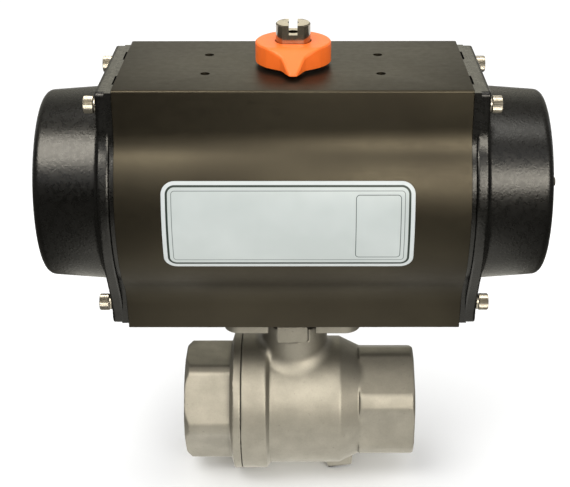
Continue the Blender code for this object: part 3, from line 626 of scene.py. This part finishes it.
def cap_outline(y, z, shrink, corner):
    """Distance from the cap's cross-section: slab, barrel and foot joined by fillets."""
    r = np.sqrt(y * y + (z - BARREL_Z) ** 2)
    slab_half, slab_low = SLAB_HALF - 0.2 - shrink, 125.0
    slab = rectangle((-slab_half, slab_low), (slab_half, HOUSING_TOP - shrink))
    low_half, low = FOOT_HALF - shrink, HOUSING_BOTTOM + shrink
    high_half, high = 35.0 - shrink, 98.0
    foot = [(low_half, low), (high_half, high), (-high_half, high), (-low_half, low)]
    shape = union(outline_field(y, z, slab, corner), r - (BARREL_RADIUS - shrink), 4.0)
    return union(shape, outline_field(y, z, foot, corner), 12.0)


def cap_field(side):
    """A flange with a tapering, dished can on it, and the stop screw's boss in the right one."""
    base, tip, taper_end = 46.6, 44.7, 113.4
    dish_radius, dish_floor = 37.0, 117.4
    chamber = [(-20.0, 60.0), (CAP_BORE, 60.0), (CAP_BORE, 106.0), (35.0, 112.0), (-20.0, 112.0)]
    head_recess, boss_radius, pad_radius, pad_face, screw_hole = 5.6, 7.0, 9.0, 117.9, 2.75

    def field(x, y, z):
        along = x * side
        up = z - BARREL_Z
        r = np.sqrt(y * y + up * up)
        flange = common(cap_outline(y, z, 1.6, 2.2), slab_field(along, CAP_FLANGE, CAP_OUT), 0.9)
        taper = (along - CAP_OUT) * (base - tip) / (taper_end - CAP_OUT)
        can = common(r - (base - taper), along - CAP_END, 3.6)
        shape = union(flange, common(can, CAP_FLANGE - along), 2.2)
        dish = common(common(r - dish_radius, dish_floor - along, 0.5), along - 119.6)
        shape = less(less(shape, dish, 0.4), outline_field(r, along, chamber))
        for screw_y, screw_z in CAP_SCREWS[:2]:
            away = np.sqrt((y - screw_y) ** 2 + (z - screw_z) ** 2)
            shape = less(shape, common(away - head_recess, CAP_OUT - along), 0.5)
        if side > 0:
            shape = union(shape, common(r - boss_radius, slab_field(along, 105.0, 113.0)))
            pad = common(r - pad_radius, along - pad_face, 0.6)
            shape = union(shape, common(pad, 110.0 - along), 0.5)
            shape = less(shape, r - screw_hole)
        return shape
    return field


def cap_step(side):
    """The cap's flat spigot between its flange and the housing, with two slits on top."""
    near, far = sorted((side * CAP_STEP, side * (CAP_FLANGE + 1.2)))
    half = half_section(1.7, 3.0)
    outline = half + [(-y, z) for y, z in reversed(half)]
    mesh = extruded("step", outline, near, far, ALONG_X)
    near, far = sorted((side * (CAP_STEP - 1.3), side * (CAP_STEP + 1.2)))
    slits = [block((near, y - 6.5, 176.9), (far, y + 6.5, 182.0)) for y in (-19.5, 19.5)]
    return boolean(mesh, "DIFFERENCE", rod(CAP_BORE, -90.0, 90.0, ON_BARREL, 96), *slits)


def build_caps():
    for side, label in ((-1, "left"), (1, "right")):
        low, high = sorted((side * (CAP_STEP - 1.0), side * (CAP_END + 1.0)))
        mesh = carve("casting", cap_field(side), (low, -53.0, 58.0), (high, 53.0, 180.0), 0.75)
        mesh = merged(f"end_cap_{label}_casting", mesh, cap_step(side))
        piece(f"end_cap_{label}_casting", mesh, "black_casting", "root", f"end_cap_{label}", smooth=50.0)


def screw_mesh():
    """Socket head screw with a knurled head, on a spring washer."""
    head_radius = 4.0
    profile = [(0, 1.3), (3.9, 1.3, 0.15), (head_radius, 1.6), (head_radius, 5.3), (3.6, 5.8, 0.25), (0, 5.8)]
    profile = rounded(profile, 0.0, 2)
    ribs = [i for i, point in enumerate(profile) if point[0] > head_radius - 0.05]
    head = turned("head", profile, ribs=ribs, rib_depth=0.3)
    head = boolean(head, "DIFFERENCE", extruded("socket", hexagon(4.0), 3.2, 7.0))
    washer = turned("washer", rounded(rectangle((2.6, 0.05), (3.6, 1.1)), 0.2, 2), steps=48)
    slit = block((2.0, -0.35, 0.0), (6.0, 0.35, 3.0), Matrix.Rotation(0.9, 4, "Z"))
    washer = boolean(washer, "DIFFERENCE", slit)
    shank = turned("shank", [(0, -19.0), (2.2, -19.0), (2.5, -18.5), (2.5, 1.6), (0, 1.6)], steps=24)
    return merged("cap_screw", head, washer, shank)


def build_screws():
    """Each screw stands turned a little from the last, as fitted by hand."""
    mesh = screw_mesh()
    seat = CAP_OUT + 0.1
    for side, label, turn in ((-1, "left", TO_LEFT), (1, "right", TO_RIGHT)):
        for index, (y, z) in enumerate(CAP_SCREWS, start=1):
            spin = Matrix.Rotation(index * 0.7, 4, "Z")
            piece(f"knurled_screw_{label}_{index}", mesh, "stainless", "root", f"cap_screw_{label}_{index}",
                  spot=at(side * seat, y, z, turn @ spin))


def build_stop_screw():
    """The right can's threaded stop screw, and the lock nut on it."""
    low, high, pitch = 66.7, 126.2, 0.8
    crest, valley, tip = 2.4, 2.1, 1.9
    ridges = [(0, low), (tip, low)]
    height = low + 0.5
    while height < high - 1.0:
        ridges += [(crest, height), (valley, height + pitch / 2)]
        height += pitch
    ridges += [(crest, high - 0.6), (tip, high), (0, high)]
    mesh = turned("stop_screw_thread", ridges, ON_BARREL, 40)
    mesh = boolean(mesh, "DIFFERENCE", extruded("socket", hexagon(2.5), 123.0, 127.0, ON_BARREL))
    piece("stop_screw_thread", mesh, "stainless", "root", "travel_stop_screw")
    nut = extruded("lock_nut", hexagon(8.0), 118.3, 122.3, ON_BARREL)
    chamfers = [(0, 118.2), (4.2, 118.2), (4.7, 118.7), (4.7, 121.8), (4.1, 122.4), (0, 122.4)]
    nut = boolean(nut, "INTERSECT", turned("chamfers", chamfers, ON_BARREL, 64))
    nut = boolean(nut, "DIFFERENCE", rod(2.7, 110.0, 125.0, ON_BARREL, 40))
    piece("stop_lock_nut", nut, "stainless", "root", "travel_stop_nut")


def build_nameplate():
    """A flat plate with round corners, cut into strips and rolled onto the barrel."""
    inner, outer = 53.25, 53.85
    strips = 33
    middle_x, middle_arc = FOIL_MIDDLE
    edge = rounded(rectangle((-FOIL_HALF_X, -FOIL_HALF_ARC), (FOIL_HALF_X, FOIL_HALF_ARC)), FOIL_CORNER, 10)
    flat = extruded("plate", [(x + middle_x, a + middle_arc) for x, a in edge], inner, outer, bevel=0.12)
    cuts = bmesh.new()
    cuts.from_mesh(flat)
    for index in range(1, strips):
        level = (middle_arc - FOIL_HALF_ARC + 2 * FOIL_HALF_ARC * index / strips) * MM
        bmesh.ops.bisect_plane(cuts, geom=cuts.verts[:] + cuts.edges[:] + cuts.faces[:],
                               plane_co=(0, level, 0), plane_no=(0, 1, 0))
    for vert in cuts.verts:
        x, along, radius = vert.co
        angle = along / (outer * MM)
        vert.co = (x, -radius * math.cos(angle), BARREL_Z * MM + radius * math.sin(angle))
    bmesh.ops.recalc_face_normals(cuts, faces=cuts.faces)
    mesh = bpy.data.meshes.new("foil_plate")
    cuts.to_mesh(mesh)
    cuts.free()
    piece("foil_plate", mesh, "nameplate_foil", "root", "nameplate")


# ---------------------------------------------------------------- pinion and indicator

def gear_outline():
    """Involute teeth, one of them centred on +X."""
    teeth, module, pressure = 20, 1.5, math.radians(20.0)
    pitch, tip, root = teeth * module / 2, 16.3, 13.125
    base = pitch * math.cos(pressure)
    backlash = 0.3
    half_thickness = (math.pi * module / 2 - backlash) / (2 * pitch)
    lead = math.tan(pressure) - pressure

    def half_angle(radius):
        local = math.acos(min(1.0, base / radius))
        return half_thickness + lead - math.tan(local) + local

    flank = [root, base + 0.2, base + 0.8, pitch + 0.3, tip]
    points = []
    for tooth in range(teeth):
        middle = 2 * math.pi * tooth / teeth
        for sign, radii in ((-1, flank), (1, flank[::-1])):
            for radius in radii:
                angle = middle + sign * half_angle(max(radius, base))
                points.append((radius * math.cos(angle), radius * math.sin(angle)))
    return points


def build_pinion():
    """The toothed shaft, its slotted top between two flats, and the square socket in its foot."""
    top, shoulder, foot = 200.7, 185.3, 59.2
    profile = [(0, top), (7.5, top, 0.2), (8.0, top - 0.5, 0.2), (8.0, shoulder), (10.0, shoulder)]
    for groove, high, low in ((9.1, 184.4, 182.9), (8.9, 178.6, 175.6)):
        profile += [(10.0, high), (groove, high), (groove, low), (10.0, low)]
    profile += [(10.0, 159.2), (12.0, 159.2), (12.0, 84.0), (17.0, 84.0)]
    profile += [(17.0, 78.8), (15.8, 78.8), (15.8, 75.8), (17.0, 75.8), (17.0, foot), (0, foot)]
    mesh = turned("pinion_shaft", rounded(profile, 0.0, 3), steps=96)
    mesh = boolean(mesh, "UNION", extruded("teeth", gear_outline(), 107.0, 137.0))
    flat, clear, above = 6.3, 20.0, 202.0
    mesh = boolean(mesh, "DIFFERENCE",
                   block((-clear, flat, 185.6), (clear, clear, above)),
                   block((-clear, -clear, 185.6), (clear, -flat, above)),
                   block((-2.0, -clear, 196.3), (2.0, clear, above)),
                   rod(2.6, 186.7, above, steps=32),
                   block((-7.3, -7.3, 50.0), (7.3, 7.3, 76.0)))
    piece("pinion_shaft", mesh, "nickel_steel", "pinion", "pinion", smooth=25.0)


def indicator_field(x, y, z):
    """A round cap with a sloping nose, hollow below, seated on the shaft's flats."""
    low, high = 182.8, 192.3
    flank = [(1.7, -26.2), (3.6, -22.4), (4.2, -20.6), (5.7, -17.5), (8.6, -14.6), (12.5, -11.5)]
    nose = flank + [(0.0, -5.0)] + [(-side, front) for side, front in reversed(flank)]
    run, fall, brow = 11.0, 7.5, -13.6
    cap_radius, inner_radius, seat_radius, seat_half = 17.5, 14.4, 8.3, 6.6
    r = np.sqrt(x * x + y * y)
    plan = union(r - cap_radius, outline_field(x, y, nose, 0.6), 1.5)
    slope = ((z - high) * run + (brow - y) * fall) / math.hypot(run, fall)
    top = common(z - high, slope, 1.2)
    shape = common(common(plan, top, 1.0), low - z, 0.3)
    shape = less(shape, common(r - inner_radius, z - 186.2))
    seat = common(r - seat_radius, np.abs(y) - seat_half)
    return less(shape, seat, 0.25)


def build_indicator():
    mesh = carve("indicator_cap", indicator_field, (-18.0, -27.0, 182.0), (18.0, 18.0, 193.0), 0.32)
    piece("indicator_cap", mesh, "orange_plastic", "pinion", "indicator", smooth=60.0)


# ---------------------------------------------------------------- valve

def hex_field(x, r, y, z, spin, top, low, high, chamfer_low, chamfer_high):
    """A hexagon along X with corners turned down to the radius top and chamfered ends."""
    flats = outline_field(y, z, hexagon(HEXAGON_FLATS, spin), 0.8)
    outline = [(-20.0, low), (top - chamfer_low, low), (top, low + chamfer_low),
               (top, high - chamfer_high), (top - chamfer_high, high), (-20.0, high)]
    return common(flats, outline_field(r, x, outline, 0.4), 0.5)


def pipe_thread(r, x, y, z, low, high):
    """A hole along X from low to high whose wall carries a 60 degree thread."""
    pitch, slant = 2.209, 0.7                                     # a slanted wall is nearer than r says
    crest, valley = THREAD_RADII
    phase = x / pitch + np.arctan2(z, y) / (2 * math.pi)
    ridge = np.abs(phase - np.floor(phase) - 0.5) * 2.0
    return common((r - (crest + (valley - crest) * ridge)) * slant, slab_field(x, low, high))


def valve_body_outside(x, y, z, r, from_stem):
    """Turned shell, hexagon, neck, mounting pad and casting foot, joined by fillets."""
    shell = [(-20.0, -26.75), (35.6, -26.75), (35.6, -14.4), (32.7, -12.5), (32.7, 22.9), (26.4, 36.0),
             (-20.0, 36.0)]
    neck_radius, pad_corner, pad_low, pad_high, foot_half = 16.5, 8.0, 52.3, 58.0, 9.0
    end = hex_field(x, r, y, z, 33.3, 29.5, 32.6, 60.6, 0.5, 1.2)
    shape = union(outline_field(r, x, shell, 0.5), end, 0.6)
    neck = common(from_stem - neck_radius, slab_field(z, 5.0, 56.0))
    shape = union(shape, neck, 4.5)
    plan = outline_field(x, y, rectangle((-34.4, -26.0), (32.4, 26.0)), pad_corner)
    pad = common(plan, slab_field(z, pad_low, pad_high), 0.9)
    shape = union(shape, pad, 3.0)
    foot = outline_field(x, z, [(14.5, -28.0), (17.5, -37.3), (30.0, -35.4), (30.0, -25.0)], 0.9)
    return union(shape, common(foot, np.abs(y) - foot_half, 0.9), 2.0)


def valve_body_field(x, y, z):
    """The casting less the pad's channel and holes, the stem's steps, the ball's chamber and the thread."""
    r = np.sqrt(y * y + z * z)
    from_stem = np.sqrt(x * x + y * y)
    from_channel = np.abs(x + 1.0)
    channel_half, channel_floor, collar_pocket = 11.6, 48.7, 11.7
    bolt_hole, head_hole = 3.3, 4.3
    shape = valve_body_outside(x, y, z, r, from_stem)
    shape = less(shape, common(from_channel - channel_half, channel_floor - z), 0.5)
    for radius, bottom in ((15.0, channel_floor), (13.0, 36.5), (9.4, 20.0)):     # rim, stuffing box, stem
        shape = less(shape, common(from_stem - radius, bottom - z))
    shape = less(shape, common(from_stem - collar_pocket, slab_field(z, 15.0, 33.5)))
    tab_pocket = common(common(from_channel - 8.1, 42.2 - z), y + 14.0)
    shape = less(shape, tab_pocket, 0.3)
    chamber = [(-20.0, 37.0), (BALL_BORE, 37.0), (BALL_BORE, 22.8), (27.3, 22.8), (27.3, 13.0),
               (28.6, 13.0), (28.6, -14.0), (30.0, -14.0), (30.0, -30.0), (-20.0, -30.0)]
    pipe = [(-20.0, 36.0), (22.6, 36.0), (22.6, 58.6), (25.4, 62.0), (-20.0, 62.0)]
    for hollow_outline in (chamber, pipe):
        shape = less(shape, outline_field(r, x, hollow_outline))
    shape = less(shape, pipe_thread(r, x, y, z, 37.5, 62.0))
    for bolt_x, bolt_y in BOLT_SPOTS:
        away = np.sqrt((x - bolt_x) ** 2 + (y - bolt_y) ** 2)
        shape = less(shape, common(away - bolt_hole, 50.0 - z), 0.3)
        shape = less(shape, common(away - head_hole, slab_field(z, 46.5, 56.4)))
    return shape


def tailpiece_field(x, y, z):
    """The screwed-in end: flange ring and spigot, hexagon, and a bore with a thread."""
    r = np.sqrt(y * y + z * z)
    ring = [(-20.0, -32.3), (30.5, -32.3), (35.6, -30.8), (35.6, -27.05),
            (29.65, -27.05), (29.65, -15.4), (-20.0, -15.4)]
    end = hex_field(x, r, y, z, 0.0, 30.1, -55.6, -29.0, 2.4, 0.5)
    shape = union(outline_field(r, x, ring, 0.25), end, 0.6)
    bore = [(-20.0, -14.0), (27.3, -14.0), (27.3, -22.8), (BALL_BORE, -22.8), (BALL_BORE, -34.0),
            (22.6, -34.0), (22.6, -54.0), (25.2, -57.5), (-20.0, -57.5)]
    return less(less(shape, outline_field(r, x, bore)), pipe_thread(r, x, y, z, -57.5, -35.5))


def build_valve():
    mesh = carve("valve_body_casting", valve_body_field, (-35.0, -36.5, -37.5), (61.5, 36.5, 58.8), 0.65)
    piece("valve_body_casting", mesh, "cast_stainless", "root", "valve_body", smooth=50.0)
    mesh = carve("tailpiece_casting", tailpiece_field, (-56.5, -36.5, -36.5), (-14.5, 36.5, 36.5), 0.65)
    piece("tailpiece_casting", mesh, "cast_stainless", "root", "tailpiece", smooth=50.0)


def build_ball():
    """The ball at rest: its bore across the pipe, and the stem's slot on top."""
    radius = 28.0
    outline = [(0.0, -radius)] + arc((0, 0), radius, -88.0, 88.0, 60) + [(0.0, radius)]
    mesh = turned("polished_ball", outline, steps=96)
    slot = block((-40.0, -4.4, 21.2), (40.0, 4.4, 40.0))
    mesh = boolean(mesh, "DIFFERENCE", rod(BALL_BORE, -40.0, 40.0, TO_BACK, 72), slot)
    piece("polished_ball", mesh, "stainless", "stem_and_ball", "ball", smooth=30.0)


def build_lock_plate():
    """A washer around the gland nut, with a tongue bent down over the neck's front."""
    low, high, left, right = 51.4, 52.55, -8.3, 6.3
    side = [(-10.0, low), (-10.0, high), (-16.9, high, 1.3), (-18.1, 51.35, 0.6), (-18.1, 43.0, 0.3),
            (-16.9, 43.0, 0.3), (-16.9, low, 0.3)]
    tongue = extruded("tongue", rounded(side, 0.0, 5), left, right, ALONG_X)
    front = rounded([(left, 42.8, 1.6), (right, 42.8, 1.6), (right, 60.0), (left, 60.0)], 0.0, 5)
    tongue = boolean(tongue, "INTERSECT", extruded("corners", front, 5.0, 30.0, TO_FRONT))
    plate = turned("lock", rounded(rectangle((5.0, low), (14.6, high)), 0.25, 2))
    mesh = boolean(plate, "UNION", tongue)
    mesh = boolean(mesh, "DIFFERENCE", extruded("hole", hexagon(22.6), 50.0, 54.0))
    piece("tab_washer", mesh, "cast_stainless", "root", "nut_lock_plate")


def build_gland_nut():
    nut = extruded("nut", hexagon(22.0), 50.0, 55.4)
    chamfer = turned("chamfer", [(0, 49.5), (12.8, 49.5), (12.8, 54.5), (11.4, 55.5), (0, 55.5)])
    nut = boolean(nut, "INTERSECT", chamfer)
    nut = boolean(nut, "UNION", rod(13.9, 49.0, 51.1, steps=64), rod(12.65, 48.4, 50.0, steps=60))
    nut = boolean(nut, "DIFFERENCE", rod(9.4, 40.0, 60.0, steps=64))
    piece("gland_nut_turned", nut, "stainless", "root", "gland_nut")


def build_mounting_bolts():
    """Socket screws that come up from under the valve's pad into the housing."""
    low, under_head, high, head_radius, shank = 52.6, 56.1, 69.0, 4.0, 2.9
    profile = [(0, low), (3.6, low), (head_radius, low + 0.4), (head_radius, under_head), (shank, under_head),
               (shank, high), (0, high)]
    mesh = turned("bolt", profile, steps=48)
    mesh = boolean(mesh, "DIFFERENCE", extruded("socket", hexagon(4.0), 50.0, 54.8))
    for index, (x, y) in enumerate(BOLT_SPOTS, start=1):
        piece(f"pad_bolt_{index}", mesh, "stainless", "root", f"mounting_bolt_{index}", spot=at(x, y, 0))


def coil(name, radius, wire, turns, hand, side):
    """A round wire wound about the actuator's axis, between the piston and the can's end on one side."""
    low, high = 33.8 + wire, 111.7 - wire
    count, around = turns * 28, 10
    points, faces = [], []
    for i in range(count + 1):
        angle = hand * 2 * math.pi * turns * i / count
        out = Vector((0.0, math.cos(angle), math.sin(angle)))
        middle = out * radius + Vector((side * (low + (high - low) * i / count), 0.0, BARREL_Z))
        for k in range(around):
            turn = 2 * math.pi * k / around
            points.append(tuple(middle + out * wire * math.cos(turn) + Vector((wire * math.sin(turn), 0, 0))))
    for i in range(count):
        for k in range(around):
            a, b = i * around + k, i * around + (k + 1) % around
            faces.append((a, b, b + around, a + around))
    faces += [tuple(range(around)), tuple(range(count * around, (count + 1) * around))]
    return mesh_from(name, points, faces)


def build_springs():
    """An outer and an inner coil, wound opposite ways, in each can, each piece with a mesh of its own."""
    for side, label in ((-1, "left"), (1, "right")):
        for name, radius, wire, turns, hand in (("outer", 26.0, 2.5, 6, 1), ("inner", 16.0, 1.7, 7, -1)):
            mesh = coil(f"{name}_coil_{label}", radius, wire, turns, hand, side)
            made = piece(f"{name}_coil_{label}", mesh, "spring_steel", "root", f"{name}_spring_{label}")
            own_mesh(made)


# ---------------------------------------------------------------- CAD nodes that stay

# Part of a node's name, and the slot that it takes; the first match counts.
NODE_SLOTS = (
    ("oring", "black_nitrile"), ("cap_seal", "black_nitrile"),
    ("bushing", "grey_acetal"), ("rack_guide", "grey_acetal"), ("thrust_washer_top", "grey_acetal"),
    ("guide_band", "white_ptfe"), ("seat_", "white_ptfe"), ("body_seal", "white_ptfe"),
    ("stem_", "white_ptfe"),
    ("disc_spring", "spring_steel"), ("circlip", "spring_steel"), ("_spring_", "spring_steel"),
    ("piston_", "cast_aluminium"), ("gland_ring", "stainless"), ("stem", "stainless"),
)


def dress_cad_nodes():
    """Every CAD node that stays gets the material of its slot."""
    for name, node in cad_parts.items():
        for key, slot in NODE_SLOTS:
            if key in name:
                for holder in node.material_slots:
                    holder.material = MATERIALS[slot]
                break


# ---------------------------------------------------------------- stage, lights and camera

# The stage is in metres. A card's and a light's row is: name, centre, aim, size, and glow or power.

AIM = (0.0, 0.0, 0.12)                                            # the middle of the valve
FLOOR_Z = CAD_BOX[0][2] - 0.0002
CARD_Z = CAD_BOX[0][2] + 0.0004                                   # cards lie just above the floor
CARDS = (
    ("room_front", (0.0, -2.4, 0.3), AIM, (7.0, 1.5), (0.05, 0.047, 0.04)),
    ("room_floor", (0.0, -0.9, CARD_Z), (0.0, -0.9, 1.0), (6.0, 3.0), (0.10, 0.095, 0.08)),
    ("near_floor", (0.0, -0.3, CARD_Z + 0.0004), (0.0, -0.3, 1.0), (0.28, 0.44), (1.40, 1.35, 1.2)),
    ("under_floor", (0.0, 0.2, CARD_Z + 0.0004), (0.0, 0.2, 1.0), (0.28, 0.56), (0.90, 0.87, 0.77)),
    ("valve_floor", (0.0, -0.02, CARD_Z + 0.0008), (0.0, -0.02, 1.0), (0.16, 0.16), (1.7, 1.65, 1.5)),
    ("low_back", (0.0, 2.3, 0.22), AIM, (7.0, 0.8), (0.35, 0.335, 0.28)),
    ("room_back", (0.0, 2.5, 1.35), AIM, (1.2, 2.6), (1.4, 1.34, 1.10)),
    ("back_wall", (0.0, 2.7, 1.3), AIM, (7.0, 2.8), (0.40, 0.39, 0.34)),
    ("room_top", (0.0, 0.3, 2.2), AIM, (7.0, 3.0), (0.35, 0.33, 0.29)),
    ("top_glow", (0.15, 0.14, 1.55), AIM, (1.3, 0.5), (4.2, 4.1, 3.8)),
    ("left_bounce", (-2.4, -0.4, 0.7), AIM, (3.4, 2.2), (0.25, 0.24, 0.22)),
    ("right_bounce", (2.4, -0.4, 0.7), AIM, (3.4, 2.2), (0.25, 0.24, 0.22)),
    ("left_glow", (-0.60, -0.72, 1.38), AIM, (0.9, 0.85), (13.0, 12.2, 10.6)),
    ("right_glow", (0.65, -1.36, 0.74), AIM, (1.3, 0.6), (12.3, 11.5, 9.9)),
)
SOFTBOXES = (
    ("left_softbox", (-0.55, -0.75, 1.30), AIM, (0.9, 0.7), 9.0),
    ("right_softbox", (0.75, -1.35, 0.75), AIM, (1.0, 0.55), 9.0),
    ("overhead_softbox", (0.0, 0.1, 1.6), (0.0, 0.0, 0.0), (1.6, 1.0), 10.0),
)


def stage_sheet(name, half_x, half_y, z, material):
    """A level rectangle that isn't part of the object."""
    mesh = bpy.data.meshes.new(name)
    corners = rectangle((-half_x, -half_y), (half_x, half_y))
    mesh.from_pydata([(x, y, z) for x, y in corners], [], [(0, 1, 2, 3)])
    mesh.materials.append(material)
    made = bpy.data.objects.new(name, mesh)
    bpy.context.scene.collection.objects.link(made)
    return made


def build_floor():
    paper = Finish("pale_floor", Roughness=0.9, Specular_IOR_Level=0.0)
    paper.colour(paper.mix(paper.noise(300.0, 2.0), (0.90, 0.90, 0.895), (0.93, 0.93, 0.925)))
    stage_sheet("floor", 12.0, 12.0, FLOOR_Z, paper.material)


def build_card(name, centre, aim, size, glow):
    """A card that only shows up in reflections, glowing or dark."""
    paint = Finish(name, Roughness=1.0, Emission_Strength=1.0)
    paint.colour((0.0, 0.0, 0.0, 1.0))
    paint.plug((*glow, 1.0), paint.shader.inputs["Emission Color"])
    card = stage_sheet(name, size[0] / 2, size[1] / 2, 0.0, paint.material)
    card.location = centre
    card.rotation_euler = (Vector(aim) - Vector(centre)).to_track_quat("Z", "Y").to_euler()
    card.visible_camera = False
    card.visible_diffuse = False
    card.visible_shadow = False


def build_softbox(name, centre, aim, size, power):
    """A light that doesn't show up in reflections, where a card stands for it."""
    data = bpy.data.lights.new(name, "AREA")
    data.shape = "RECTANGLE"
    data.size, data.size_y = size
    data.energy = power
    light = bpy.data.objects.new(name, data)
    light.location = centre
    light.rotation_euler = (Vector(aim) - Vector(centre)).to_track_quat("-Z", "Y").to_euler()
    light.visible_glossy = False
    bpy.context.scene.collection.objects.link(light)


def build_light():
    world = bpy.data.worlds.new("studio")
    bpy.context.scene.world = world
    world.use_nodes = True
    sky = world.node_tree.nodes["Background"].inputs
    sky["Color"].default_value = (1.0, 1.0, 1.0, 1.0)
    sky["Strength"].default_value = 0.85
    for row in CARDS:
        build_card(*row)
    for row in SOFTBOXES:
        build_softbox(*row)
    bpy.context.scene.view_settings.view_transform = "Standard"


def build_camera():
    """The photograph's view: yaw and pitch point the camera, and roll turns it about its own axis."""
    yaw, pitch, roll = math.radians(-0.04), math.radians(24.5), math.radians(0.06)
    forward = Vector((math.sin(yaw) * math.cos(pitch), math.cos(yaw) * math.cos(pitch), -math.sin(pitch)))
    level = Vector((math.cos(yaw), -math.sin(yaw), 0.0))
    down = forward.cross(level)
    right = level * math.cos(roll) + down * math.sin(roll)
    down = down * math.cos(roll) - level * math.sin(roll)
    data = bpy.data.cameras.new("camera")
    data.sensor_width = 36.0
    data.lens = 81.46
    data.shift_x = -0.0355
    data.shift_y = -0.0075
    data.clip_end = 50.0
    camera = bpy.data.objects.new("camera", data)
    turn = Matrix((right, -down, -forward)).transposed().to_4x4()
    camera.matrix_world = Matrix.Translation((0.00585, -0.57957, 0.35546)) @ turn
    bpy.context.scene.collection.objects.link(camera)
    bpy.context.scene.camera = camera


dress_cad_nodes()
build_housing()
build_caps()
build_screws()
build_stop_screw()
build_nameplate()
build_pinion()
build_indicator()
build_valve()
build_ball()
build_lock_plate()
build_gland_nut()
build_mounting_bolts()
build_springs()
build_floor()
build_light()
build_camera()
